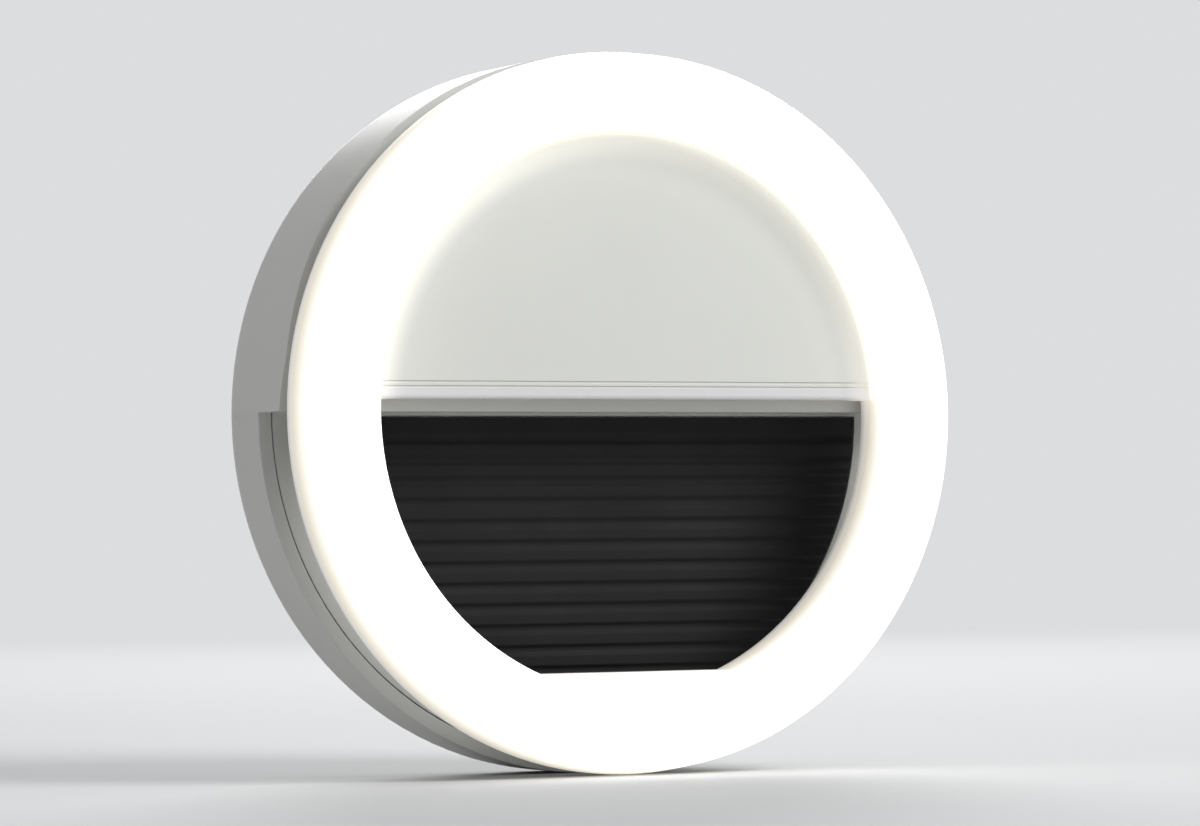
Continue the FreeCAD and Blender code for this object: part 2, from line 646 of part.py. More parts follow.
def two_arcs(start, leaving, end, arriving):
    """A pair of tangent arcs between two points with given directions."""
    reach = end - start
    both = leaving + arriving
    bend = 2 * (1 - leaving.dot(arriving))
    along = reach.dot(both)
    step = (math.sqrt(along ** 2 + bend * reach.dot(reach)) - along) / bend
    first, last = start + leaving * step, end - arriving * step
    joint = (first + last) * 0.5
    return [arc_through(start, first, joint), arc_through(joint, last, end)]


def swept(label, edges, radius):
    """One unbroken round tube along a path of tangent lines and arcs."""
    path = Part.Wire(edges)
    start = edges[0].valueAt(edges[0].FirstParameter)
    along = edges[0].tangentAt(edges[0].FirstParameter)
    section = Part.Wire([Part.Circle(start, along, radius).toShape()])
    tube = path.makePipeShell([section], True, False)
    expected = math.pi * radius ** 2 * path.Length
    print(f"{label}: {path.Length:.1f} mm of tube, volume {tube.Volume / expected:.4f} of its section's")
    return tube


def least_gap(edges, radius, apart):
    """The narrowest gap between stretches of a tube that lie further apart along it than a length."""
    points = []
    travelled = 0.0
    for edge in edges:
        first, last = edge.ParameterRange
        for step in range(GAP_STEPS):
            share = step / GAP_STEPS
            points.append((travelled + share * edge.Length, edge.valueAt(first + share * (last - first))))
        travelled += edge.Length
    near = [here.distanceToPoint(there) for place, (at, here) in enumerate(points)
            for where, there in points[place + 1:] if where - at > apart]
    return min(near) - 2 * radius


def make_spring(label, side):
    """A torsion spring round the pin. Its legs press on the web and on the floor of the recess."""
    pin = FreeCAD.Vector(0, size("hinge_depth"), size("hinge_height"))
    wire, leg = size("wire_radius"), size("leg_length")
    radius = size("pin_radius + coil_play + wire_radius")
    seat = wire + size("leg_touch")
    lean_front = math.asin((size("hinge_depth") - radius - seat) / leg)
    lean_back = math.asin((size(f"{TUB_FLOOR} - hinge_depth") - radius - seat) / leg)
    start = math.pi + lean_front
    end = ONE_TURN * (size("coil_turns") + 1) - lean_back
    room = size(f"{INNER_EAR} - middle_half - 2 * coil_beside - 2 * wire_radius")
    rise = room / (end - start)

    def point(turn):
        out = side * (size("middle_half + coil_beside + wire_radius") + rise * (turn - start))
        return pin + FreeCAD.Vector(out, radius * math.cos(turn), radius * math.sin(turn))

    def heading(turn):
        way = FreeCAD.Vector(side * rise, -radius * math.sin(turn), radius * math.cos(turn))
        return way.normalize()

    count = STEPS_PER_TURN * math.ceil((end - start) / ONE_TURN)
    turns = [start + (end - start) * place / count for place in range(count + 1)]
    edges = [Part.LineSegment(point(start) - heading(start) * leg, point(start)).toShape()]
    for here, there in zip(turns, turns[1:]):
        edges += two_arcs(point(here), heading(here), point(there), heading(there))
    edges.append(Part.LineSegment(point(end), point(end) + heading(end) * leg).toShape())
    gap = least_gap(edges[1:-1], wire, math.pi * radius)
    print(f"{label}: least gap between its turns {gap:.2f} mm")
    if gap <= LEAST_GAP:
        print(f"{label}: its turns are closer than {LEAST_GAP} mm")
    spring = doc.addObject("Part::Feature", label)
    spring.Label = label
    spring.Shape = swept(label, edges, wire)
    return spring


def route(label, points):
    """Straight runs through the points, with each corner rounded as far as its two runs allow."""
    edges = []
    here = points[0]
    for before, corner, after in zip(points, points[1:], points[2:]):
        coming, going = (corner - before).normalize(), (after - corner).normalize()
        shorter = min(before.distanceToPoint(corner), corner.distanceToPoint(after))
        back = KEEP_BEND * shorter
        radius = back / math.tan(coming.getAngle(going) / 2)
        print(f"{label}: bend of {radius:.1f} mm")
        edges.append(Part.LineSegment(here, corner - coming * back).toShape())
        edges.append(arc_through(corner - coming * back, corner, corner + going * back))
        here = corner + going * back
    edges.append(Part.LineSegment(here, points[-1]).toShape())
    return edges


def leads(label, routes):
    """One node of insulated leads, each a tube along its own route."""
    node = doc.addObject("Part::Feature", label)
    node.Label = label
    tubes = [swept(label, route(label, points), size("lead_radius")) for points in routes]
    node.Shape = tubes[0] if len(tubes) == 1 else Part.makeCompound(tubes)
    return node


def make_led_lead_front():
    """The lamp leads from the lamp board back to the pin's axis, where they turn but don't shift."""
    body = new_body("led_lead_front")
    pair = [(f"{LEAD_PLACE} {sign} lead_spread", "hinge_height", "lead_radius") for sign in "+-"]
    pad(body, circles(body, "XZ_Plane", "-shell_depth", *pair), "shell_depth + hinge_depth - lead_split")
    return body


def make_led_lead_rear():
    """The same leads from the pin's axis to the control board."""
    start, first = size("hinge_depth + lead_split"), size("hinge_depth + lead_run")
    last, end = size(f"{BOARD_FRONT} - lead_end"), size(BOARD_FRONT)
    up = size("hinge_height")
    routes = []
    for across in (size(f"{LEAD_PLACE} {sign} lead_spread") for sign in "+-"):
        inside = across - size("lead_step")
        corners = ((across, start), (across, first), (inside, last), (inside, end))
        routes.append([FreeCAD.Vector(x, y, up) for x, y in corners])
    return leads("led_lead_rear", routes)


def make_battery_lead(label, number):
    """A lead from the top of the battery to its connector on the control board."""
    across = -size("tail_left") + number * size("tail_spacing")
    low = size(f"{BACK_INSIDE} - tape_thick - battery_thick / 2")
    high = size(f"{BOARD_BACK} + plug_high / 2")
    start, end = -size("battery_top"), size("plug_low")
    over = across + size("tail_bow")
    corners = [(across, low, start), (across, low, start + size("tail_run")),
               (over, high, end - size("tail_end")), (over, high, end)]
    return leads(label, [[FreeCAD.Vector(*corner) for corner in corners]])


# Rear jaw

def front_line():
    """The drum's front, seen from the side: sloped above and below the pin, then the open jaw."""
    top = "seam_gap + (2 * ring_radius - hinge_height) * tan(pinch_angle)"
    lip = "seam_gap + (hinge_height - stop_height) * tan(relief_angle)"
    return [(top, "2 * ring_radius"), ("seam_gap", "hinge_height"), (lip, "stop_height"),
            ("jaw_depth", "stop_height"), ("jaw_depth", "-2 * ring_radius")]


def cut_ahead(body):
    """Takes off all that lies in front of the drum's front line."""
    ahead = [("-ring_depth", "-2 * ring_radius"), ("-ring_depth", "2 * ring_radius"), *front_line()]
    pocket(body, polygons(body, "YZ_Plane", "0", ahead), both=True)


def jaw_screw_sets():
    """Places of the jaw screws, with the front of their heads."""
    for across, up in on_circle(f"({CAVITY} - boss_radius - boss_inset)", "jaw_top_angle"):
        yield (across, up), f"(seam_gap + ({up} - hinge_height) * tan(pinch_angle) + head_sunk)"
    under_pad = f"({JAW_PAD} - jaw_screw_edge - jaw_head_radius - head_play)"
    for place_of in on_circle(under_pad, "jaw_low_angle"):
        yield place_of, "(jaw_depth + head_sunk)"


def post_places():
    for across in ("-post_left", "post_right"):
        for up in ("post_low", "post_high"):
            yield across, up


def make_jaw_shell():
    """The drum: one moulding with the domed back, the side wall and the bosses."""
    body = new_body("jaw_shell")
    outline = [("seam_gap", CAVITY), ("seam_gap", DRUM), (BACK, DRUM), (BACK, "0"),
               (BACK_INSIDE, "0"), (BACK_INSIDE, CAVITY)]
    revolve(body, polygons(body, "YZ_Plane", "0", outline))
    round_edges(body, "drum_round", at_depth(size(BACK)))
    round_edges(body, "cavity_round", at_depth(size(BACK_INSIDE)))
    cut_ahead(body)
    bosses = []
    for (across, up), front in jaw_screw_sets():
        start = f"{front} + jaw_head_high + boss_floor"
        boss = circles(body, "XZ_Plane", start, (across, up, "boss_radius"))
        pad(body, boss, f"{BACK} - back_wall / 2 - ({start})")
        bosses.append((across, up, start))
    for across, up, start in bosses:
        bore = circles(body, "XZ_Plane", start, (across, up, "jaw_shank_radius"))
        pocket(body, bore, "jaw_shank_long - boss_floor + shank_play")
    posts = circles(body, "XZ_Plane", BOARD_BACK, *rounds(post_places(), "post_radius"))
    pad(body, posts, f"{BACK} - back_wall / 2 - {BOARD_BACK}")
    bores = circles(body, "XZ_Plane", BOARD_BACK, *rounds(post_places(), "board_shank"))
    pocket(body, bores, "board_shank_long + shank_play")
    pocket(body, circles(body, "XZ_Plane", DISH, ("0", "0", "dish_radius")))
    round_edges(body, "dish_round", at_depth(size(BACK), 0, size("dish_radius + dish_round")))
    openings = circles(body, "XZ_Plane", "jaw_depth", ("0", "button_height", "button_radius + button_gap"),
                       ("indicator_out", "button_height", "pipe_radius + pipe_play"))
    pocket(body, openings)
    port = rectangle(f"{BOARD_BACK} - port_gap", "usb_height - usb_wide / 2 - port_gap",
                     f"{BOARD_BACK} + usb_high + port_gap", "usb_height + usb_wide / 2 + port_gap")
    pocket(body, polygons(body, "YZ_Plane", f"{USB_MOUTH} - usb_long / 2", port), back=False)
    return body


def jaw_pad_space(label, gap):
    disc = rod(label + "_disc", f"{JAW_PAD} + {gap}", "jaw_depth + pad_sunk - jaw_pad_thick",
               "jaw_depth + pad_sunk", "0", "0")
    above = block(label + "_above", (f"-{DRUM}", "0", f"-pad_top + {gap}"), (DRUM, BACK, DRUM))
    return joined(label, "Cut", (disc, above))


def make_jaw_plate():
    """The drum's front cover: the sloped upper half, the ceiling of the jaw and its inner face."""
    body = new_body("jaw_plate_blank")
    line = front_line()
    behind = [(f"{depth} + plate_wall", up) for depth, up in line]
    behind[2] = (behind[2][0], "stop_height + plate_wall")
    behind[3] = (behind[3][0], "stop_height + plate_wall")
    band = polygons(body, "YZ_Plane", "0", [*line, *reversed(behind)])
    pad(body, band, "2 * ring_radius", both=True)
    outside = circles(body, "XZ_Plane", "-ring_depth", ("0", "0", PLATE), ("0", "0", FAR))
    pocket(body, outside)
    tub = rectangle(f"-{TUB_HALF} - plate_wall", "stop_height + plate_wall / 2",
                    f"{TUB_HALF} + plate_wall", f"{TUB_HIGH} + plate_wall")
    pad(body, polygons(body, "XZ_Plane", "seam_gap", tub), f"{TUB_FLOOR} + plate_wall - seam_gap")
    cut_ahead(body)
    hollow = rectangle(f"-{TUB_HALF}", TUB_LOW, TUB_HALF, TUB_HIGH)
    pocket(body, polygons(body, "XZ_Plane", "-ring_depth", hollow), f"ring_depth + {TUB_FLOOR}")
    add_barrels(body, knuckle_spans(), "hinge_depth", f"{TUB_FLOOR} + plate_wall / 2 - hinge_depth",
                "pin_radius + pin_play")
    for (across, up), front in jaw_screw_sets():
        seat = f"{front} + jaw_head_high"
        boss = circles(body, "XZ_Plane", f"{front} - pad_sunk / 2", (across, up, "boss_radius"))
        pad(body, boss, "jaw_head_high + boss_floor + pad_sunk / 2")
        sink = circles(body, "XZ_Plane", seat, (across, up, "jaw_head_radius + head_play"))
        pocket(body, sink, "jaw_depth", back=False)
        hole = circles(body, "XZ_Plane", seat, (across, up, "jaw_shank_radius + shank_play"))
        pocket(body, hole, "boss_floor")
    pocket(body, circles(body, "XZ_Plane", "0", (LEAD_PLACE, "hinge_height", "lead_hole_jaw")), "jaw_depth")
    return joined("jaw_plate", "Cut", (body, jaw_pad_space("jaw_pad_recess", "pad_gap")))


def make_jaw_pad():
    """The ribbed pad that the rear of the phone lies on."""
    blank = jaw_pad_space("jaw_pad_blank", "0")
    grooves = []
    for number in range(NUMBER["rib_count"]):
        middle = f"(-rib_first - {number} * rib_pitch)"
        grooves.append(block(f"rib_groove_{number}",
                             (f"-{DRUM}", "0", f"{middle} - rib_groove / 2"),
                             (DRUM, "jaw_depth + pad_sunk - jaw_pad_thick + rib_deep",
                              f"{middle} + rib_groove / 2")))
    return joined("jaw_pad", "Cut", (blank, joined("rib_grooves", "MultiFuse", grooves)))


def make_jaw_screws():
    body = new_body("jaw_screws")
    for place_of, front in jaw_screw_sets():
        head = circles(body, "XZ_Plane", front, (*place_of, "jaw_head_radius"))
        pad(body, head, "jaw_head_high")
        shank = circles(body, "XZ_Plane", f"{front} + jaw_head_high", (*place_of, "jaw_shank_radius"))
        pad(body, shank, "jaw_shank_long")
    return body


def make_control_board():
    body = new_body("control_board")
    edges = rectangle("-post_left - board_edge", "post_low - board_edge",
                      f"{USB_MOUTH} - usb_over", "post_high + board_edge")
    pad(body, polygons(body, "XZ_Plane", BOARD_FRONT, edges), "board_thick")
    holes = circles(body, "XZ_Plane", BOARD_FRONT, *rounds(post_places(), "board_shank + shank_play"))
    pocket(body, holes, "board_thick")
    return body


def make_board_screws():
    body = new_body("board_screws")
    heads = circles(body, "XZ_Plane", f"{BOARD_FRONT} - board_head_high",
                    *rounds(post_places(), "board_head"))
    pad(body, heads, "board_head_high")
    shanks = circles(body, "XZ_Plane", BOARD_FRONT, *rounds(post_places(), "board_shank"))
    pad(body, shanks, "board_thick + board_shank_long")
    return body


def on_board(label, low, foot, high, top, tall):
    """A block on the rear face of the control board."""
    return block(label, (low, BOARD_BACK, foot), (high, f"{BOARD_BACK} + {tall}", top))


def make_usb_socket():
    half = "usb_wide / 2"
    case = on_board("usb_case", f"{USB_MOUTH} - usb_long", f"usb_height - {half}",
                    USB_MOUTH, f"usb_height + {half}", "usb_high")
    hollow = block("usb_hollow_space",
                   (f"{USB_MOUTH} - usb_hollow", f"{BOARD_BACK} + usb_sheet",
                    f"usb_height - {half} + usb_sheet"),
                   (f"{USB_MOUTH} + usb_long", f"{BOARD_BACK} + usb_high - usb_sheet",
                    f"usb_height + {half} - usb_sheet"))
    return joined("usb_socket", "Cut", (case, hollow))


def make_usb_tongue():
    middle = f"{BOARD_BACK} + usb_high / 2"
    return block("usb_tongue",
                 (f"{USB_MOUTH} - usb_hollow", f"{middle} - tongue_thick / 2",
                  "usb_height - tongue_wide / 2"),
                 (f"{USB_MOUTH} - usb_hollow + tongue_long", f"{middle} + tongue_thick / 2",
                  "usb_height + tongue_wide / 2"))


def make_board_chips():
    charger = on_board("charger_chip", "charger_left", "charger_low", "charger_left + charger_long",
                       "charger_low + charger_wide", "charger_high")
    driver = on_board("driver_chip", "driver_left", "driver_low", "driver_left + driver_side",
                      "driver_low + driver_side", "driver_high")
    group = doc.addObject("Part::Compound", "board_chips")
    group.Label = "board_chips"
    group.Links = [charger, driver]
    return group


def make_board_capacitor():
    return rod("board_capacitor", "can_radius", BOARD_BACK, f"{BOARD_BACK} + can_long",
               "can_out", "can_height")


def make_battery_connector():
    return on_board("battery_connector", "-plug_left", "plug_low", "-plug_left + plug_wide",
                    "plug_low + plug_tall", "plug_high")


def make_indicator_led():
    return on_board("indicator_led", "indicator_out - chip_long / 2", "button_height - chip_wide / 2",
                    "indicator_out + chip_long / 2", "button_height + chip_wide / 2", "chip_high")


def make_light_pipe():
    body = new_body("light_pipe")
    start = f"{BOARD_BACK} + chip_high + pipe_gap"
    pipe = circles(body, "XZ_Plane", start, ("indicator_out", "button_height", "pipe_radius"))
    pad(body, pipe, f"{DISH} - ({start})")
    flange = circles(body, "XZ_Plane", f"{BACK_INSIDE} - pipe_flange_thick",
                     ("indicator_out", "button_height", "pipe_flange"))
    pad(body, flange, "pipe_flange_thick")
    return body


def make_tact_switch():
    body = new_body("tact_switch")
    half = "switch_wide / 2"
    case = rectangle(f"-{half}", f"button_height - {half}", half, f"button_height + {half}")
    pad(body, polygons(body, "XZ_Plane", BOARD_BACK, case), "switch_high")
    floor = f"{BOARD_BACK} + switch_high - plunger_in - plunger_room"
    bore = circles(body, "XZ_Plane", floor, ("0", "button_height", "plunger_radius + plunger_play"))
    pocket(body, bore)
    return body


def make_battery_cell():
    body = new_body("battery_cell")
    front = f"{BACK_INSIDE} - tape_thick - battery_thick"
    case = rectangle("-battery_half", f"-{BATTERY_FOOT}", "battery_half", "-battery_top")
    pad(body, polygons(body, "XZ_Plane", front, case), "battery_thick")
    long_edges = size(f"{BATTERY_FOOT} - battery_top")
    round_edges(body, "battery_round", lambda edge: abs(
        abs(edge.valueAt(edge.LastParameter).z - edge.valueAt(edge.FirstParameter).z) - long_edges) < 1e-4)
    return body


def make_battery_tape():
    return block("battery_tape",
                 ("-battery_half + tape_inset", f"{BACK_INSIDE} - tape_thick",
                  f"-{BATTERY_FOOT} + tape_inset"),
                 ("battery_half - tape_inset", BACK_INSIDE, "-battery_top - tape_inset"))


# Button

def make_power_button():
    body = new_body("power_button")
    cap = circles(body, "XZ_Plane", FLANGE_FRONT, ("0", "button_height", "button_radius"))
    pad(body, cap, f"{DISH} + button_proud - {FLANGE_FRONT}")
    round_edges(body, "button_round", at_depth(size(f"{DISH} + button_proud")))
    flange = circles(body, "XZ_Plane", FLANGE_FRONT, ("0", "button_height", "button_radius + flange_over"))
    pad(body, flange, "flange_thick")
    return body


def make_switch_plunger():
    body = new_body("switch_plunger")
    start = f"{BOARD_BACK} + switch_high - plunger_in"
    pad(body, circles(body, "XZ_Plane", start, ("0", "button_height", "plunger_radius")),
        f"{FLANGE_FRONT} - ({start})")
    return body


# The whole part

def sub_parts():
    head = [make_diffuser(), make_ring_rear_shell(), make_front_pad(), make_led_board(),
            make_led_chips(), make_led_resistors(), make_front_panel(), make_panel_screws(),
            make_hinge_pin(), make_spring("spring_left", -1), make_spring("spring_right", 1),
            make_led_lead_front()]
    jaw = [make_jaw_shell(), make_jaw_plate(), make_jaw_pad(), make_jaw_screws(),
           make_control_board(), make_board_screws(), make_usb_socket(), make_usb_tongue(),
           make_board_chips(), make_board_capacitor(), make_battery_connector(),
           make_indicator_led(), make_light_pipe(), make_tact_switch(), make_battery_cell(),
           make_battery_tape(), make_battery_lead("battery_lead_red", 0),
           make_battery_lead("battery_lead_black", 1), make_led_lead_rear()]
    button = [make_power_button(), make_switch_plunger()]
    return [*head, *jaw, *button]


def main():
    nodes = sub_parts()
    doc.recompute()
    for item in doc.Objects:
        if "Invalid" in item.State or "Error" in item.State:
            owners = ", ".join(owner.Label for owner in item.InList)
            raise RuntimeError(f"{item.Label} in {owners} failed: {item.getStatusString()}")
    for node in nodes:
        if node.Shape.isNull() or not node.Shape.isValid():
            raise RuntimeError(f"{node.Label} has no valid shape")
    os.makedirs("parts", exist_ok=True)
    for node in nodes:
        node.Shape.exportStep(f"parts/{node.Label}.step")
        print(f"{node.Label}: {len(node.Shape.Solids)} solids, {node.Shape.Volume:.1f} cubic mm")


main()
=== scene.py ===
import json
import math

import bmesh
import bpy
from mathutils import Matrix, Vector


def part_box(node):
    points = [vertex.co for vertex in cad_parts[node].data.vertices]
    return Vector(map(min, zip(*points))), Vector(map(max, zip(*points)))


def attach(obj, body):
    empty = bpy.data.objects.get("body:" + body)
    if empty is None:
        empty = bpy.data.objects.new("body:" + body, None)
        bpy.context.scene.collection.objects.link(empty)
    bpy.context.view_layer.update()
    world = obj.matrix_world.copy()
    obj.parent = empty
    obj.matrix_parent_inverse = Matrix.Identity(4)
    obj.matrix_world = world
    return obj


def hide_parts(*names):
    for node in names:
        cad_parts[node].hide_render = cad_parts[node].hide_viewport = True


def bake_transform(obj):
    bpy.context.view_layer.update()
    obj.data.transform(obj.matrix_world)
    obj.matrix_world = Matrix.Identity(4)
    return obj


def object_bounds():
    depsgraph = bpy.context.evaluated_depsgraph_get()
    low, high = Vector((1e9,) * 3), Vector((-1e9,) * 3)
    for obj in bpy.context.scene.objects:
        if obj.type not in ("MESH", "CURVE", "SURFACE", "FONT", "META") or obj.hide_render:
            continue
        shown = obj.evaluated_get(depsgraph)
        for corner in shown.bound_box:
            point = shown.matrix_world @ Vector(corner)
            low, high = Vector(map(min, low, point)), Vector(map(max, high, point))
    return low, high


bl_info = {
    "name": "Clip-on Ring Light",
    "version": (1, 0, 0),
    "blender": (4, 5, 0),
    "location": "3D View > Sidebar > Ring Light",
    "description": "Dresses the packed frame of a clip-on ring light in plastic, steel, boards and wiring",
    "category": "Object",
}

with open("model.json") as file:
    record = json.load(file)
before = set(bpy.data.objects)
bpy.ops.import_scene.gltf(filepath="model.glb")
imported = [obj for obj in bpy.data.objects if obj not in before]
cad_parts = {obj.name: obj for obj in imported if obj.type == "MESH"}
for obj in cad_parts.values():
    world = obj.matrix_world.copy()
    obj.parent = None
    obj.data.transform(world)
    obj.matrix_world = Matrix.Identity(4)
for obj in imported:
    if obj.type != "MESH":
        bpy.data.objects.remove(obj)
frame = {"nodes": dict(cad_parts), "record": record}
CAD_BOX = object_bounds()

MM = 0.001
TURN = 2 * math.pi
PICTURE_WIDTH = 1200
# Points closer than this are one point, and faces that meet at more than these degrees keep an edge
TOUCHING = 1e-7
EDGE = 35
# The axes that a piece's width, height and thickness run along, from the way it is drawn
FLAT, REARWARD, SIDEWAYS, SLEEVE = "xyz", "xzy", "yzx", "zyx"
# What kind of socket a node tree's input has, by the kind of its default
SOCKETS = {float: "NodeSocketFloat", int: "NodeSocketInt", tuple: "NodeSocketVector"}
# What settings of one kind have in common
ANGLE = {"subtype": "ANGLE", "unit": "ROTATION"}
LENGTH = {"subtype": "DISTANCE", "unit": "LENGTH"}
POWER = {"subtype": "POWER", "unit": "POWER"}
COLOUR = {"subtype": "COLOR", "size": 3, "min": 0, "max": 1}


# Small tools

def linear(hex_colour):
    """An sRGB hex value as linear red, green, blue and alpha."""
    parts = [int(hex_colour[start:start + 2], 16) / 255 for start in (0, 2, 4)]
    return tuple(part / 12.92 if part <= 0.04045 else ((part + 0.055) / 1.055) ** 2.4
                 for part in parts) + (1.0,)


def add(tree, kind, inputs=(), **settings):
    """Adds a node with its settings and inputs. A kind that names no family is a shader node's. The
    inputs go by name, or by place in a tuple. Each is a value, an output, a node (for its first live
    output), a sum such as ("ADD", 1.0, output), whose terms may be sums too, or a list of these."""
    node = tree.nodes.new(kind if "Node" in kind else "ShaderNode" + kind)
    for name, value in settings.items():
        setattr(node, name, value)
    for name, value in inputs.items() if isinstance(inputs, dict) else enumerate(inputs):
        for source in value if isinstance(value, list) else [value]:
            if isinstance(source, tuple) and isinstance(source[0], str):
                source = add(tree, "Math", source[1:], operation=source[0])
            if isinstance(source, bpy.types.Node):
                source = next(output for output in source.outputs if output.enabled)
            if isinstance(source, bpy.types.NodeSocket):
                tree.links.new(source, node.inputs[name])
            else:
                node.inputs[name].default_value = source
    return node


def dress(material, *nodes):
    """Gives nodes of the frame their finish."""
    for node in nodes:
        for slot in frame["nodes"][node].material_slots:
            slot.material = material


def middle(node):
    low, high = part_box(node)
    return (low + high) / 2


def body_of(node):
    """The body that carries a node of the frame."""
    bodies = frame["record"]["behaviour"]["bodies"]
    return next(body for body, members in bodies.items() if node in members)


def new_object(name, data, material=None):
    """An object in the scene, with its data named as it is."""
    data.name = name
    item = bpy.data.objects.new(name, data)
    bpy.context.scene.collection.objects.link(item)
    if material is not None:
        data.materials.append(material)
    return item


def grown(name, start, material, tree, inputs):
    """Runs a node tree on a mesh and keeps the result as a plain mesh."""
    inputs = {**inputs, "Material": material}
    item = new_object(name, start)
    modifier = item.modifiers.new("growth", "NODES")
    modifier.node_group = tree
    for socket in tree.interface.items_tree:
        if socket.item_type == "SOCKET" and socket.in_out == "INPUT" and socket.name in inputs:
            modifier[socket.identifier] = inputs[socket.name]
    depsgraph = bpy.context.evaluated_depsgraph_get()
    plain = bpy.data.meshes.new_from_object(item.evaluated_get(depsgraph), depsgraph=depsgraph)
    item.modifiers.clear()
    item.data = plain
    bpy.data.meshes.remove(start)
    plain.name = name
    plain.materials.clear()
    plain.materials.append(material)
    plain.polygons.foreach_set("material_index", [0] * len(plain.polygons))
    return item


def piece(name, node, mesh, material, tree=None, inputs=None, replace=True, sharp=None):
    """Makes a piece of a mesh, or of what a node tree grows on it, and hangs it on the body of the
    node that it stands for or belongs to. All edges sharper than an angle are kept where one is given."""
    item = grown(name, mesh, material, tree, inputs) if tree else new_object(name, mesh, material)
    if sharp is not None:
        item.data.set_sharp_from_angle(angle=math.radians(sharp))
    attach(item, body_of(node))
    if replace:
        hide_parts(node)


def across_hinge(item, *nodes):
    """Fixes a piece where it stands and hides the nodes that it stands for; it is hung on no body."""
    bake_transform(item)
    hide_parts(*nodes)


# Settings that a user would change

class RingLightCamera(bpy.types.PropertyGroup):
    azimuth: bpy.props.FloatProperty(
        name="Azimuth", description="Turn of the camera round the ring, from straight in front",
        default=math.radians(-26.92), **ANGLE)
    elevation: bpy.props.FloatProperty(
        name="Elevation", description="Height of the camera over the level of the ring's centre",
        default=math.radians(-1.57), **ANGLE)
    roll: bpy.props.FloatProperty(
        name="Roll", description="Tilt of the picture", default=math.radians(-0.69), **ANGLE)
    distance: bpy.props.FloatProperty(
        name="Distance", description="From the camera to the ring's centre", default=0.5878, **LENGTH)
    pixels: bpy.props.FloatProperty(
        name="Focal length", description="Focal length in pixels of a picture 1200 wide", default=4982.0)
    across: bpy.props.FloatProperty(
        name="Across", description="Ring's centre right of the picture's middle, in those pixels",
        default=17.3)


class RingLightStudio(bpy.types.PropertyGroup):
    floor: bpy.props.FloatVectorProperty(
        name="Floor", description="Colour of the floor round the ring light",
        default=linear("C8C9CA")[:3], **COLOUR)
    backdrop: bpy.props.FloatVectorProperty(
        name="Backdrop", description="Colour of the sweep further off",
        default=linear("DCDDDF")[:3], **COLOUR)
    sky: bpy.props.FloatProperty(
        name="Sky", description="Strength of the even light from all round", default=0.55)
    key: bpy.props.FloatProperty(
        name="Key lamp", description="Large soft lamp in front, to the right", default=16.0, **POWER)
    back: bpy.props.FloatProperty(
        name="Back lamp", description="Large soft lamp behind, to the right", default=10.0, **POWER)


class RingLightColours(bpy.types.PropertyGroup):
    glow: bpy.props.FloatVectorProperty(
        name="Glow", description="Light of the ring's face", default=linear("FFFDFA")[:3], **COLOUR)
    glow_edge: bpy.props.FloatVectorProperty(
        name="Glow at the seam", description="Light of the ring's sides next to its rear shell",
        default=linear("8E887C")[:3], **COLOUR)
    glow_strength: bpy.props.FloatProperty(
        name="Glow strength", description="How brightly the ring's face shines", default=1.6)
    # Partly painted shade: the shells' grey is written a little darker than the panel's, whose plastic it
    # matches
    shell: bpy.props.FloatVectorProperty(
        name="Shell", description="Moulded shells and button", default=linear("CFCFCB")[:3], **COLOUR)
    panel: bpy.props.FloatVectorProperty(
        name="Panel", description="Panel in the ring", default=linear("D8D9D3")[:3], **COLOUR)
    pads: bpy.props.FloatVectorProperty(
        name="Pads", description="Grip pads of the jaw", default=linear("161618")[:3], **COLOUR)


class RingLightSizes(bpy.types.PropertyGroup):
    wire: bpy.props.FloatProperty(
        name="Spring wire", description="Diameter of the springs' wire", default=0.8 * MM, **LENGTH)
    turns: bpy.props.IntProperty(
        name="Spring turns", description="Whole turns of each spring", default=5, min=1)
    coil_radius: bpy.props.FloatProperty(
        name="Coil", description="Middle radius of a spring's coil", default=1.85 * MM, **LENGTH)
    spring_leg: bpy.props.FloatProperty(
        name="Spring leg", description="Straight leg at either end of a spring", default=8.0 * MM,
        **LENGTH)
    lead: bpy.props.FloatProperty(
        name="Lead", description="Diameter of an insulated lead", default=0.9 * MM, **LENGTH)
    lead_run: bpy.props.FloatProperty(
        name="Lamp lead run", description="Lamp leads' first run behind the pin", default=4.3 * MM,
        **LENGTH)
    lead_end: bpy.props.FloatProperty(
        name="Lamp lead end", description="Lamp leads' last run to the board", default=1.5 * MM,
        **LENGTH)
    tail_run: bpy.props.FloatProperty(
        name="Battery lead run", description="Battery leads' run out of the battery",
        default=3.4 * MM, **LENGTH)
    tail_end: bpy.props.FloatProperty(
        name="Battery lead end", description="Battery leads' run into the connector",
        default=3.0 * MM, **LENGTH)
    lamps: bpy.props.IntProperty(
        name="Lamps", description="Lamps round the ring, with one resistor to three", default=36,
        min=3)
    first_groove: bpy.props.FloatProperty(
        name="First groove", description="Jaw pad's first groove, below the ring's centre",
        default=2.9 * MM, **LENGTH)
    rib_pitch: bpy.props.FloatProperty(
        name="Rib spacing", description="Spacing of the jaw pad's ribs", default=2.5 * MM, **LENGTH)
    groove: bpy.props.FloatProperty(
        name="Groove width", description="Width of a groove between two ribs", default=1.2 * MM,
        **LENGTH)
    groove_deep: bpy.props.FloatProperty(
        name="Groove depth", description="Depth of a groove between two ribs", default=0.3 * MM,
        **LENGTH)
    grooves: bpy.props.IntProperty(
        name="Grooves", description="Grooves across the jaw pad", default=13, min=1)
    pad_edge: bpy.props.FloatProperty(
        name="Pad edge", description="Rounding of the jaw pad's rim", default=0.25 * MM, **LENGTH)


# Shapes, drawn in millimetres and lifted to their place in the frame

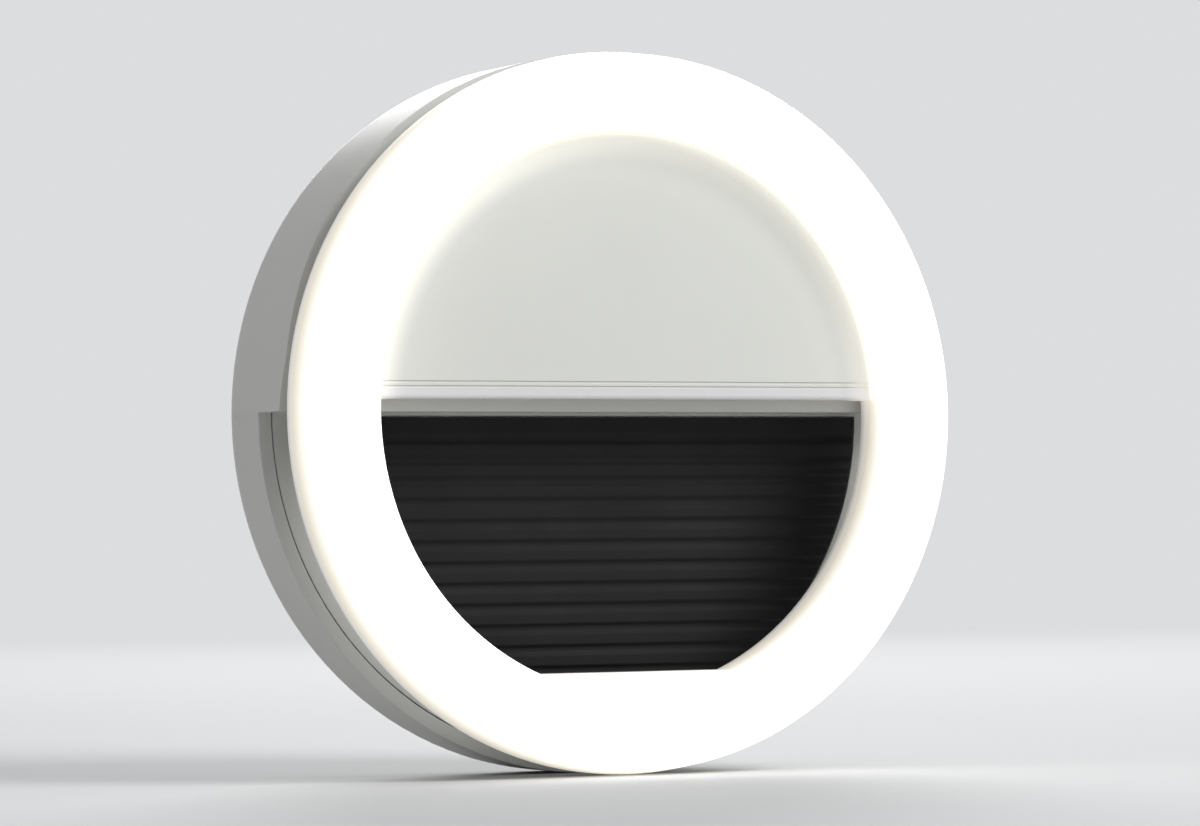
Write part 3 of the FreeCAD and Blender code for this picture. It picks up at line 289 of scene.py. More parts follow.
def lift_to(origin, axes):
    """Turns a place drawn in millimetres into one in the frame: each of its numbers runs from the
    origin along one of the axes."""
    steps = [Vector([MM * (axis == name) for name in "xyz"]) for axis in axes]
    return lambda *drawn: sum((step * far for step, far in zip(steps, drawn)), Vector(origin))


def seated(box, base):
    """For a piece that stands on a level and faces the rear: its half width, half height and
    thickness in millimetres, and the lift to its middle there."""
    low, high = box
    centre, half = (low + high) / 2, (high - low) / (2 * MM)
    return half.x, half.z, (high.y - base) / MM, lift_to((centre.x, base, centre.z), REARWARD)


def built(form):
    """A finished mesh: doubles merged, faces outwards, smooth except over sharp edges."""
    bmesh.ops.remove_doubles(form, verts=form.verts, dist=TOUCHING)
    bmesh.ops.recalc_face_normals(form, faces=form.faces)
    mesh = bpy.data.meshes.new("shape")
    form.to_mesh(mesh)
    form.free()
    mesh.polygons.foreach_set("use_smooth", [True] * len(mesh.polygons))
    mesh.set_sharp_from_angle(angle=math.radians(EDGE))
    return mesh


def loft(form, loops, caps=True):
    """Skins closed loops of points, one after the other, and closes both ends."""
    rings = [[form.verts.new(point) for point in loop] for loop in loops]
    for here, there in zip(rings, rings[1:]):
        for place in range(len(here)):
            after = (place + 1) % len(here)
            form.faces.new((here[place], here[after], there[after], there[place]))
    if caps:
        form.faces.new(rings[0])
        form.faces.new(rings[-1][::-1])


def lathe(profile, sides, lift):
    """A mesh turned from (radius, height) pairs. Radius 0 closes it with a pole."""
    form = bmesh.new()
    rings = []
    for radius, height in profile:
        angles = [TURN * side / sides for side in range(sides if radius else 1)]
        rings.append([form.verts.new(lift(radius * math.cos(angle), radius * math.sin(angle), height))
                      for angle in angles])
    for here, there in zip(rings, rings[1:]):
        for side in range(sides):
            after = (side + 1) % sides
            corners = [ring[place % len(ring)] for ring, place in (
                (here, side), (there, side), (there, after), (here, after))]
            form.faces.new(list(dict.fromkeys(corners)))
    return built(form)


def rounded(half_wide, half_high, bend, steps=4):
    """A rounded rectangle: gives its points for any inset."""
    def outline(inset):
        corner = max(bend - inset, bend * 0.25)
        wide, high = half_wide - inset - corner, half_high - inset - corner
        points = []
        for quarter, (side, end) in enumerate(((1, 1), (-1, 1), (-1, -1), (1, -1))):
            for step in range(steps + 1):
                angle = (quarter + step / steps) * TURN / 4
                points.append((side * wide + corner * math.cos(angle),
                               end * high + corner * math.sin(angle)))
        return points
    return outline


def block(outline, levels, lift, cup=(), spots=((0, 0),), through=False):
    """A solid of one outline at several (inset, height) levels, at each spot. A cup adds round
    loops of (radius, height) that sink into its top, or go right through it."""
    form = bmesh.new()
    angles = [math.atan2(up, across) for across, up in outline(0)]
    for right, over in spots:
        loops = [[lift(right + across, over + up, height) for across, up in outline(inset)]
                 for inset, height in levels]
        loops += [[lift(right + radius * math.cos(angle), over + radius * math.sin(angle), height)
                   for angle in angles] for radius, height in cup]
        loft(form, loops + loops[:1] if through else loops, caps=not through)
    return built(form)


def islands(node):
    """The lowest and highest corner of each separate solid of a node."""
    form = bmesh.new()
    form.from_mesh(frame["nodes"][node].data)
    bmesh.ops.remove_doubles(form, verts=form.verts, dist=TOUCHING)
    seen, boxes = set(), []
    for seed in form.verts:
        if seed in seen:
            continue
        seen.add(seed)
        reached = [seed]
        for vertex in reached:
            for edge in vertex.link_edges:
                other = edge.other_vert(vertex)
                if other not in seen:
                    seen.add(other)
                    reached.append(other)
        boxes.append([Vector([pick(vertex.co[axis] for vertex in reached) for axis in range(3)])
                      for pick in (min, max)])
    form.free()
    return sorted(boxes, key=lambda box: (round(box[0].x, 5), round(box[0].z, 5)))


def smooth_line(points):
    """Points along the smooth line that these points steer."""
    data = bpy.data.curves.new("route", "CURVE")
    data.dimensions = "3D"
    data.resolution_u = 10
    spline = data.splines.new("NURBS")
    spline.points.add(len(points) - 1)
    for point, where in zip(spline.points, points):
        point.co = (*where, 1.0)
    spline.order_u = 3
    spline.use_endpoint_u = True
    item = new_object("route", data)
    depsgraph = bpy.context.evaluated_depsgraph_get()
    mesh = bpy.data.meshes.new_from_object(item.evaluated_get(depsgraph), depsgraph=depsgraph)
    line = [vertex.co.copy() for vertex in mesh.vertices]
    bpy.data.meshes.remove(mesh)
    bpy.data.objects.remove(item)
    bpy.data.curves.remove(data)
    return line


def point_mesh(lines):
    """A mesh of bare lines, or of bare points where a line has one."""
    mesh = bpy.data.meshes.new("points")
    points, edges = [], []
    for line in lines:
        edges += [(place, place + 1) for place in range(len(points), len(points) + len(line) - 1)]
        points += [tuple(point) for point in line]
    mesh.from_pydata(points, edges, [])
    return mesh


# Node trees for what repeats or follows a line

def new_tree(name, inputs):
    """An empty node tree with its named inputs and their defaults, and what they give inside."""
    tree = bpy.data.node_groups.new(name, "GeometryNodeTree")
    for way in ("INPUT", "OUTPUT"):
        tree.interface.new_socket("Geometry", in_out=way, socket_type="NodeSocketGeometry")
    for label, default in inputs.items():
        socket = tree.interface.new_socket(label, in_out="INPUT", socket_type=SOCKETS[type(default)])
        socket.default_value = default
    tree.interface.new_socket("Material", in_out="INPUT", socket_type="NodeSocketMaterial")
    return tree, add(tree, "NodeGroupInput").outputs


def close_tree(tree, start, geometry):
    """Realises the instances, sets the finish and hands the result on."""
    real = add(tree, "GeometryNodeRealizeInstances", (geometry,))
    add(tree, "NodeGroupOutput", (add(tree, "GeometryNodeSetMaterial", {
        "Geometry": real, "Material": start["Material"]}),))
    return tree


def tube_tree():
    """A round tube along each line of points."""
    tree, start = new_tree("tube_along_line", {"Radius": 0.4 * MM, "Sides": 14})
    section = add(tree, "GeometryNodeCurvePrimitiveCircle", {
        "Resolution": start["Sides"], "Radius": start["Radius"]})
    return close_tree(tree, start, add(tree, "GeometryNodeCurveToMesh", {
        "Curve": add(tree, "GeometryNodeMeshToCurve", (start["Geometry"],)),
        "Profile Curve": section, "Fill Caps": True}))


def ring_tree():
    """Copies of a piece round a circle about the ring's axis, each turned to face out."""
    tree, start = new_tree("copies_round_ring", {
        "Count": 36, "Radius": 37 * MM, "First": 0.0, "Level": 0.0})
    circle = add(tree, "GeometryNodeMeshCircle", {
        "Vertices": start["Count"], "Radius": start["Radius"]})
    share = ("DIVIDE", add(tree, "GeometryNodeInputIndex"), start["Count"])
    turn = add(tree, "FunctionNodeAxisAngleToRotation", {
        "Axis": (0, 0, 1), "Angle": ("MULTIPLY", share, TURN)})
    copies = add(tree, "GeometryNodeInstanceOnPoints", {
        "Points": circle, "Instance": start["Geometry"], "Rotation": turn})
    first = add(tree, "FunctionNodeAxisAngleToRotation", {"Axis": (0, 0, 1), "Angle": start["First"]})
    spun = add(tree, "GeometryNodeTransform", {"Geometry": copies, "Rotation": first})
    return close_tree(tree, start, add(tree, "GeometryNodeTransform", {
        "Geometry": spun, "Rotation": (TURN / 4, 0, 0),
        "Translation": add(tree, "CombineXYZ", {"Y": start["Level"]})}))


def row_tree():
    """Copies of a piece in a straight row."""
    tree, start = new_tree("copies_in_row", {"Count": 4, "Step": (MM, 0, 0)})
    line = add(tree, "GeometryNodeMeshLine", {"Count": start["Count"], "Offset": start["Step"]},
               mode="OFFSET")
    return close_tree(tree, start, add(tree, "GeometryNodeInstanceOnPoints", {
        "Points": line, "Instance": start["Geometry"]}))


def block_tree():
    """One or two small blocks at each point, side by side."""
    tree, start = new_tree("blocks_on_points", {"Size": (MM, MM, MM), "Pieces": 1, "Spread": 0.0})
    line = add(tree, "GeometryNodeMeshLine", {
        "Count": start["Pieces"],
        "Start Location": add(tree, "CombineXYZ", {"X": ("MULTIPLY", start["Spread"], -0.5)}),
        "Offset": add(tree, "CombineXYZ", {"X": start["Spread"]})}, mode="OFFSET")
    pair = add(tree, "GeometryNodeInstanceOnPoints", {
        "Points": line, "Instance": add(tree, "GeometryNodeMeshCube", {"Size": start["Size"]})})
    return close_tree(tree, start, add(tree, "GeometryNodeInstanceOnPoints", {
        "Points": start["Geometry"], "Instance": pair}))


def pad_tree():
    """A half-round pad crossed by grooves, so that ribs with rounded shoulders stand between."""
    tree, start = new_tree("ribs_across_pad", {
        "Radius": 36 * MM, "Top": 0.0, "Front": 0.0, "Back": 0.8 * MM, "Soft Edge": 0.2 * MM,
        "First Groove": 2.9 * MM, "Spacing": 2.5 * MM, "Groove Width": 1.2 * MM,
        "Groove Depth": 0.3 * MM, "Grooves": 13})
    radius, spacing, soft = start["Radius"], start["Spacing"], start["Soft Edge"]
    # A block whose X runs from -1 to 1 across the pad, and whose Y from -0.5 in front to 0.5
    grid = add(tree, "GeometryNodeMeshCube", {
        "Size": (2, 1, 1), "Vertices X": 9, "Vertices Y": 3, "Vertices Z": 361})
    parts = add(tree, "SeparateXYZ", (add(tree, "GeometryNodeInputPosition"),)).outputs
    # Its rows go from the pad's lowest point to its top, closest together at the lowest point
    highest = ("ARCCOSINE", ("DIVIDE", ("MULTIPLY", start["Top"], -1.0), radius))
    turn = add(tree, "Math", (("ADD", parts["Z"], 0.5), highest), operation="MULTIPLY")
    up = add(tree, "Math", (("COSINE", turn), ("MULTIPLY", radius, -1.0)), operation="MULTIPLY")
    half = ("MULTIPLY", ("SINE", turn), radius)
    # How far a row lies from the middle of the nearest groove, as a share of half the groove
    half_groove = add(tree, "Math", (start["Groove Width"], 0.5), operation="MULTIPLY")
    depth = add(tree, "Math", (("MULTIPLY", up, -1.0), start["First Groove"]), operation="SUBTRACT")
    apart = ("DIVIDE", ("PINGPONG", depth, ("MULTIPLY", spacing, 0.5)), half_groove)
    groove = ("SUBTRACT", 1.0, ("POWER", ("MINIMUM", apart, 1.0), 3.0))
    last = ("MULTIPLY", spacing, ("SUBTRACT", start["Grooves"], 0.5))
    inside = ("MULTIPLY", ("GREATER_THAN", depth, ("MULTIPLY", half_groove, -1.0)),
              ("LESS_THAN", depth, last))
    front = add(tree, "Math", (parts["Y"], -0.4), operation="LESS_THAN")
    drop = ("MULTIPLY", ("MULTIPLY", groove, inside), ("MULTIPLY", start["Groove Depth"], front))
    # The front's rim is drawn in, and its middle row of side points stays out, for a soft edge
    rim = ("GREATER_THAN", ("ABSOLUTE", parts["X"]), 0.95)
    lift = ("MULTIPLY", ("MULTIPLY", rim, front), ("MULTIPLY", soft, 0.4))
    wide = ("MAXIMUM", ("SUBTRACT", half, ("MULTIPLY", front, soft)), 0.02 * MM)
    level = add(tree, "MapRange", {"Value": parts["Y"], "From Min": -0.5, "From Max": 0.5,
                                   "To Min": start["Front"], "To Max": start["Back"]})
    spot = add(tree, "CombineXYZ", {
        "X": ("MULTIPLY", parts["X"], wide), "Y": ("ADD", ("ADD", level, drop), lift), "Z": up})
    shaped = add(tree, "GeometryNodeSetPosition", {"Geometry": grid, "Position": spot})
    return close_tree(tree, start, add(tree, "GeometryNodeSetShadeSmooth", (shaped,)))


def screw_tree():
    """A pan head with a cross recess and a threaded shank, at each point."""
    tree, start = new_tree("screws_on_points", {
        "Head Radius": 1.4 * MM, "Head Height": 0.8 * MM, "Recess": 0.45 * MM,
        "Shank Radius": 0.7 * MM, "Shank Length": 4 * MM, "Pitch": 0.6 * MM, "Turn": 0.0, "Seed": 7})
    head_high, shank_long = start["Head Height"], start["Shank Length"]
    place = add(tree, "GeometryNodeInputPosition")
    parts = add(tree, "SeparateXYZ", (place,)).outputs

    def shaped(mesh, share, height):
        """Narrows a shape to a share that changes along it, and moves it up."""
        flat = add(tree, "CombineXYZ", (share, share, 1.0))
        spot = add(tree, "VectorMath", (place, flat), operation="MULTIPLY")
        return add(tree, "GeometryNodeTransform", {
            "Geometry": add(tree, "GeometryNodeSetPosition", {"Geometry": mesh, "Position": spot}),
            "Translation": add(tree, "CombineXYZ", {"Z": height})})

    # The head: domed towards its top, with two crossed bars cut out
    head = add(tree, "GeometryNodeMeshCylinder", {
        "Vertices": 40, "Side Segments": 6, "Radius": start["Head Radius"], "Depth": head_high})
    rise = ("MAXIMUM", ("DIVIDE", parts["Z"], head_high), 0.0)
    dome = add(tree, "Math", (1.0, ("MULTIPLY", ("POWER", rise, 2.0), 0.9)), operation="SUBTRACT")
    head = shaped(head, dome, ("MULTIPLY", head_high, -0.5))
    reach = add(tree, "Math", (start["Head Radius"], 1.15), operation="MULTIPLY")
    deep = add(tree, "Math", (head_high, 1.2), operation="MULTIPLY")
    bars = [add(tree, "GeometryNodeMeshCube", {"Size": add(tree, "CombineXYZ", span)})
            for span in ((reach, start["Recess"], deep), (start["Recess"], reach, deep))]
    cut = add(tree, "GeometryNodeMeshBoolean", {"Mesh 1": head, "Mesh 2": bars},
              operation="DIFFERENCE", solver="EXACT")
    # The shank: a thread that rises as it goes round, and a narrow tip
    shank = add(tree, "GeometryNodeMeshCylinder", {
        "Vertices": 20, "Side Segments": 60, "Radius": start["Shank Radius"], "Depth": shank_long})
    around = ("DIVIDE", ("ARCTAN2", parts["Y"], parts["X"]), TURN)
    wave = ("PINGPONG", ("ADD", ("DIVIDE", parts["Z"], start["Pitch"]), around), 0.5)
    thread = ("SUBTRACT", 1.0, ("MULTIPLY", wave, 0.5))
    half_shank = add(tree, "Math", (shank_long, 0.5), operation="MULTIPLY")
    tip = ("DIVIDE", ("ADD", parts["Z"], half_shank), ("MULTIPLY", start["Shank Radius"], 1.6))
    tip = ("ADD", ("MULTIPLY", ("MINIMUM", tip, 1.0), 0.6), 0.4)
    drop = ("SUBTRACT", 0.02 * MM, ("ADD", head_high, half_shank))
    shank = shaped(shank, add(tree, "Math", (thread, tip), operation="MULTIPLY"), drop)
    screw = add(tree, "GeometryNodeMeshBoolean", {"Mesh 2": [cut, shank]},
                operation="UNION", solver="EXACT")
    facing = add(tree, "FunctionNodeAxisAngleToRotation", {"Axis": (1, 0, 0), "Angle": start["Turn"]})
    loose = add(tree, "FunctionNodeRandomValue", {3: TURN, "Seed": start["Seed"]}, data_type="FLOAT")
    driven = add(tree, "FunctionNodeAxisAngleToRotation", {"Axis": (0, 0, 1), "Angle": loose})
    turn = add(tree, "FunctionNodeRotateRotation", {"Rotation": facing, "Rotate By": driven},
               rotation_space="LOCAL")
    return close_tree(tree, start, add(tree, "GeometryNodeInstanceOnPoints", {
        "Points": start["Geometry"], "Instance": screw, "Rotation": turn}))


# Finishes

def new_finish(name):
    """An empty material, and the Object coordinates that its patterns read."""
    material = bpy.data.materials.new(name)
    material.use_nodes = True
    tree = material.node_tree
    tree.nodes.clear()
    return material, tree, add(tree, "TexCoord").outputs["Object"]


def close_finish(tree, looks):
    """The shader, whose even values are set on its own sockets, and the output."""
    add(tree, "OutputMaterial", (add(tree, "BsdfPrincipled", looks),))


def per_metre(millimetres):
    """The scale of a pattern whose features are this far apart."""
    return 1 / (millimetres * MM)


def with_alpha(colour):
    return (*colour, 1.0)


def seen_rays(tree):
    """One for rays that show the backdrop: straight, mirrored or through something clear."""
    ray = add(tree, "LightPath").outputs
    return ("MAXIMUM", ("MAXIMUM", ray["Is Camera Ray"], ray["Is Glossy Ray"]),
            ray["Is Transmission Ray"])


def opal_polycarbonate(colours):
    """Opal polycarbonate, injection moulded: an even milky glow that dies away towards the seam, with
    painted shade in its base colour, darker and warmer towards the seam.
    """
    material, tree, place = new_finish("polycarbonate_moulded_opal")
    low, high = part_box("diffuser")
    depth = add(tree, "MapRange", {
        "Value": add(tree, "SeparateXYZ", (place,)).outputs["Y"],
        "From Min": high.y, "From Max": low.y})
    ramps = []
    # The first ramp is the lamp's glow. The second is the base colour, with painted shade: darker and
    # warmer towards the seam
    for stops in (
            ((0.0, with_alpha(colours.glow_edge)), (0.3, linear("A8A49A")), (0.57, linear("B9B6AE")),
             (0.8, linear("D2D0CB")), (1.0, with_alpha(colours.glow))),
            ((0.0, linear("CFC8B8")), (0.6, linear("F1EFEA")))):
        ramp = add(tree, "ValToRGB", (depth,))
        elements = ramp.color_ramp.elements
        elements.remove(elements[1])
        elements[0].color = stops[0][1]
        for position, colour in stops[1:]:
            elements.new(position).color = colour
        ramps.append(ramp)
    glow, seam_shade_tint = ramps
    close_finish(tree, {
        "Base Color": seam_shade_tint, "Roughness": 0.38, "IOR": 1.585, "Emission Color": glow,
        "Emission Strength": colours.glow_strength,
        "Normal": add(tree, "Bevel", {"Radius": 0.15 * MM}, samples=6)})
    return material


def grained(tree, place, grain, depth, edge, samples=6):
    """A fine raised grain, and edges rounded enough to catch the light."""
    corner = add(tree, "Bevel", {"Radius": edge * MM}, samples=samples)
    fine = add(tree, "TexNoise", {
        "Vector": place, "Scale": per_metre(grain), "Detail": 3.0, "Roughness": 0.55})
    return add(tree, "Bump", {
        "Height": fine, "Distance": depth * MM, "Strength": 1.0, "Normal": corner})


def clouded(tree, place, colour, roughness, spacing=26.0, tone=0.03, gloss=0.05):
    """Broad soft patches of slightly other tone and gloss, as the melt leaves them."""
    broad = add(tree, "TexNoise", {"Vector": place, "Scale": per_metre(spacing), "Detail": 2.0})
    shade = add(tree, "MapRange", {
        "Value": broad, "To Min": 1 - 1.5 * tone, "To Max": 1 + 0.5 * tone}, clamp=False)
    dull = add(tree, "MapRange", {
        "Value": broad, "To Min": roughness - 2 * gloss, "To Max": roughness + 2 * gloss}, clamp=False)
    toned = add(tree, "VectorMath", {0: colour[:3], "Scale": shade}, operation="SCALE")
    return {"Base Color": toned, "Roughness": dull}


def painted_glow(tree, place, strength, radii, depths=None):
    """Painted light: a glow painted into a pale wall beside the ring, though the wall is no lamp, in place
    of the ring's light spreading onto it. None at the first of two radii in millimetres and all of it at
    the second, and the same for two depths where they are given."""
    def share(value, none, full):
        return add(tree, "MapRange", {"Value": value, "From Min": none * MM, "From Max": full * MM},
                   interpolation_type="SMOOTHSTEP")

    flat = add(tree, "VectorMath", (place, (1, 0, 1)), operation="MULTIPLY")
    reach = add(tree, "VectorMath", (flat,), operation="LENGTH")
    light = ("MULTIPLY", share(reach, *radii), strength)
    if depths:
        light = ("MULTIPLY", light, share(add(tree, "SeparateXYZ", (place,)).outputs["Y"], *depths))
    return {"Emission Color": linear("FFF9F0"), "Emission Strength": light}


def abs_moulded(name, colour, roughness, grain, depth, edge=0.12, painted_glow_settings=None):
    """ABS, injection moulded in a spark-eroded tool: a fine even satin grain that breaks up
    highlights, with edges that catch a thin line of light. The real grain is some 0.05 mm, too
    fine for the picture, so it is drawn coarser."""
    material, tree, place = new_finish(name)
    # Where glow settings are given, painted light is added: a glow painted into the wall beside the ring
    close_finish(tree, {
        "IOR": 1.54, "Normal": grained(tree, place, grain, depth, edge),
        **clouded(tree, place, colour, roughness), **(painted_glow(tree, place, *painted_glow_settings) if painted_glow_settings else {})})
    return material


def abs_panel(colour):
    """ABS, injection moulded in a polished tool: smoother than the shells. A cooler strip along its lower
    edge is painted light, where the surface turns to the light, and its rim next to the ring has a painted
    glow."""
    material, tree, place = new_finish("abs_moulded_smooth")
    looks = clouded(tree, place, colour, roughness=0.36, gloss=0.03)
    # Painted light: a cooler strip along the lower edge, where the surface turns to the light
    strip = add(tree, "MapRange", {
        "Value": add(tree, "SeparateXYZ", (place,)).outputs["Z"],
        "From Min": 2.95 * MM, "From Max": 2.6 * MM}, interpolation_type="SMOOTHSTEP")
    looks["Base Color"] = add(tree, "Mix", {
        "Factor": strip, 6: looks["Base Color"], 7: linear("D7D6D8")}, data_type="RGBA")
    # Painted light: the panel's rim next to the ring glows, though the panel is no lamp
    close_finish(tree, {
        "IOR": 1.54, "Normal": grained(tree, place, grain=0.7, depth=0.005, edge=0.1), **looks,
        **painted_glow(tree, place, strength=0.34, radii=(29.0, 33.1))})
    return material


def silicone_moulded(colour):
    """Silicone rubber, moulded: matt and a little dusty, with a soft sheen at its edges."""
    material, tree, place = new_finish("silicone_moulded_matt")
    close_finish(tree, {
        "IOR": 1.41, "Specular IOR Level": 0.3, "Sheen Weight": 0.03, "Sheen Roughness": 0.5,
        "Normal": grained(tree, place, grain=0.5, depth=0.015, edge=0.12),
        **clouded(tree, place, colour, roughness=0.68, spacing=9.0, tone=0.12, gloss=0.06)})
    return material


def metal(name, colour, roughness, spacing, depth, stretch=(1, 1, 1)):
    """Drawn, stamped or plated metal: streaks or specks of other gloss along the way it was worked."""
    uneven = 0.12
    material, tree, place = new_finish(name)
    turned = add(tree, "Mapping", {"Vector": place, "Scale": stretch})
    fine = add(tree, "TexNoise", {"Vector": turned, "Scale": per_metre(spacing), "Detail": 3.0})
    gloss = add(tree, "MapRange", {
        "Value": fine, "To Min": max(roughness - uneven, 0.05), "To Max": roughness + uneven})
    skin = add(tree, "Bump", {"Height": fine, "Distance": depth * MM, "Strength": 1.0,
                              "Normal": add(tree, "Bevel", {"Radius": 0.06 * MM}, samples=4)})
    close_finish(tree, {"Base Color": linear(colour), "Metallic": 1.0, "Roughness": gloss,
                        "Normal": skin})
    return material


def plastic(name, colour, roughness=0.5, grain=0.4, depth=0.01, more=None):
    """Small mouldings, insulation, resin and tape, with a faint unevenness."""
    material, tree, place = new_finish(name)
    close_finish(tree, {
        "IOR": 1.5, "Normal": grained(tree, place, grain, depth, edge=0.06, samples=4),
        **clouded(tree, place, linear(colour), roughness, spacing=3.0, tone=0.06, gloss=0.04),
        **(more or {})})
    return material


def solder_mask(name, mask, trace):
    """Glass-fibre board under a glossy solder mask: straight copper runs show through it, a
    quarter of a millimetre wide, along one way or the other from patch to patch."""
    material, tree, place = new_finish(name)
    parts = add(tree, "SeparateXYZ", (place,)).outputs
    patch = add(tree, "TexVoronoi", {"Vector": place, "Scale": per_metre(7.0), "Randomness": 0.6},
                distance="CHEBYCHEV")
    pick = add(tree, "SeparateColor", (patch.outputs["Color"],)).outputs
    level, upright = (("LESS_THAN", ("PINGPONG", parts[axis], 0.6 * MM), 0.13 * MM) for axis in "XZ")
    run = add(tree, "Mix", {"Factor": ("GREATER_THAN", pick["Red"], 0.5), 2: level, 3: upright},
              data_type="FLOAT")
    run = add(tree, "Math", (run, ("GREATER_THAN", pick["Green"], 0.35)), operation="MULTIPLY")
    close_finish(tree, {
        "IOR": 1.5, "Roughness": 0.28,
        "Base Color": add(tree, "Mix", {"Factor": run, 6: linear(mask), 7: linear(trace)},
                          data_type="RGBA"),
        "Normal": add(tree, "Bump", {"Height": run, "Distance": 0.03 * MM, "Strength": 1.0})})
    return material


def laminate_pressed():
    """Aluminium laminate, pressed over the cell: satin silver with soft creases some 3 mm apart."""
    material, tree, place = new_finish("aluminium_laminate_pressed")
    creases = add(tree, "TexNoise", {
        "Vector": place, "Scale": per_metre(3.0), "Detail": 4.0, "Distortion": 0.8})
    close_finish(tree, {
        "Base Color": linear("B4B6BA"), "Metallic": 1.0,
        "Roughness": add(tree, "MapRange", {"Value": creases, "To Min": 0.3, "To Max": 0.5}),
        "Normal": add(tree, "Bump", {"Height": creases, "Distance": 0.12 * MM, "Strength": 0.6})})
    return material


# Operators

class RINGLIGHT_OT_camera(bpy.types.Operator):
    """Sets the camera where the photograph was taken from"""
    bl_idname = "ring_light.camera"
    bl_label = "Camera"

    def execute(self, context):
        view = context.scene.ring_light_camera
        flat = math.cos(view.elevation)
        back = Vector((math.sin(view.azimuth) * flat, -math.cos(view.azimuth) * flat,
                       math.sin(view.elevation)))
        right = Vector((math.cos(view.azimuth), math.sin(view.azimuth), 0))
        up = right.cross(-back)
        turn = Matrix((right, up, back)).transposed() @ Matrix.Rotation(view.roll, 3, "Z")
        data = bpy.data.cameras.new("camera")
        data.sensor_fit = "HORIZONTAL"
        data.lens = view.pixels / PICTURE_WIDTH * data.sensor_width
        data.clip_start = 0.01
        data.clip_end = 20.0
        item = new_object("camera", data)
        aim = (turn @ Vector((1, 0, 0))) * (-view.across / view.pixels * view.distance)
        item.matrix_world = Matrix.Translation(back * view.distance + aim) @ turn.to_4x4()
        context.scene.camera = item
        return {"FINISHED"}


class RINGLIGHT_OT_stage(bpy.types.Operator):
    """Sets up the floor, its sweep, the even light and the lamps"""
    bl_idname = "ring_light.stage"
    bl_label = "Stage"

    def execute(self, context):
        studio = context.scene.ring_light_studio
        self.floor(studio, CAD_BOX[0][2])
        self.sky(context.scene, studio)
        for name, power, size, where in (
                ("key_lamp", studio.key, 0.9, (0.75, -1.0, 0.85)),
                ("back_lamp", studio.back, 0.8, (0.6, 1.15, 0.5))):
            data = bpy.data.lights.new(name, "AREA")
            data.energy = power
            data.shape = "DISK"
            data.size = size
            item = new_object(name, data)
            item.location = where
            item.rotation_euler = (-Vector(where)).to_track_quat("-Z", "Y").to_euler()
        return {"FINISHED"}

    @staticmethod
    def floor(studio, level):
        """A round floor that sweeps up at its edge, in metres."""
        flat, bend, wall, sides, steps = 2.0, 0.9, 1.2, 96, 14
        profile = [(0.0, level), (0.6, level), (flat, level)]
        for step in range(1, steps + 1):
            angle = step / steps * TURN / 4
            profile.append((flat + bend * math.sin(angle), level + bend * (1 - math.cos(angle))))
        profile.append((flat + bend, level + bend + wall))
        # Seamless paper, matt: near the ring light it takes shadows, further off it is even
        material, tree, place = new_finish("paper_sweep_matt")
        paper = add(tree, "BsdfPrincipled", {
            "Base Color": with_alpha(studio.floor), "Roughness": 0.85})
        far = add(tree, "MapRange", {
            "Value": add(tree, "VectorMath", (place,), operation="LENGTH"),
            "From Min": 0.2, "From Max": 1.0}, interpolation_type="SMOOTHSTEP")
        plain = add(tree, "Emission", {"Color": with_alpha(studio.backdrop)})
        add(tree, "OutputMaterial", (add(tree, "MixShader", (
            ("MULTIPLY", far, seen_rays(tree)), paper, plain)),))
        item = new_object("floor", lathe(profile, sides, lambda *point: point), material)

    @staticmethod
    def sky(scene, studio):
        """Even light on the object, and the backdrop's colour where the sky shows."""
        scene.world = bpy.data.worlds.new("sky")
        scene.world.use_nodes = True
        tree = scene.world.node_tree
        tree.nodes.clear()
        light = add(tree, "Background", {"Color": (1, 1, 1, 1), "Strength": studio.sky})
        shown = add(tree, "Background", {"Color": with_alpha(studio.backdrop)})
        add(tree, "OutputWorld", (add(tree, "MixShader", (seen_rays(tree), light, shown)),))


class RINGLIGHT_OT_shells(bpy.types.Operator):
    """Dresses the ring, its rear shell, the panel, the drum, its front plate and the button"""
    bl_idname = "ring_light.shells"
    bl_label = "Shells"

    def execute(self, context):
        colours = context.scene.ring_light_colours
        satin = {"colour": colours.shell, "roughness": 0.42, "grain": 0.42, "depth": 0.012}
        dress(opal_polycarbonate(colours), "diffuser")
        dress(abs_moulded("abs_moulded_satin", **satin), "jaw_shell", "jaw_plate")
        # The rear shell's rim next to the diffuser gets painted light: a glow painted in, though the shell
        # is no lamp
        dress(abs_moulded("abs_moulded_painted_glow", **satin, painted_glow_settings=(0.44, (30.0, 31.5), (0.9, -1.6))),
              "ring_rear_shell")
        dress(abs_moulded("abs_moulded_button", colours.shell, roughness=0.38, grain=0.6, depth=0.006,
                          edge=0.2), "power_button")
        dress(abs_panel(colours.panel), "front_panel")
        return {"FINISHED"}


class RINGLIGHT_OT_pads(bpy.types.Operator):
    """Makes the ribbed pad of the jaw and dresses the pad of the ring"""
    bl_idname = "ring_light.pads"
    bl_label = "Grip pads"

    def execute(self, context):
        sizes = context.scene.ring_light_sizes
        silicone = silicone_moulded(context.scene.ring_light_colours.pads)
        dress(silicone, "front_pad")
        low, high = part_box("jaw_pad")
        piece("jaw_pad_ribbed", "jaw_pad", point_mesh([]), silicone, pad_tree(), {
            "Radius": -low.z, "Top": high.z, "Front": low.y, "Back": high.y,
            "Soft Edge": sizes.pad_edge, "First Groove": sizes.first_groove,
            "Spacing": sizes.rib_pitch, "Groove Width": sizes.groove,
            "Groove Depth": sizes.groove_deep, "Grooves": sizes.grooves}, sharp=50)
        return {"FINISHED"}


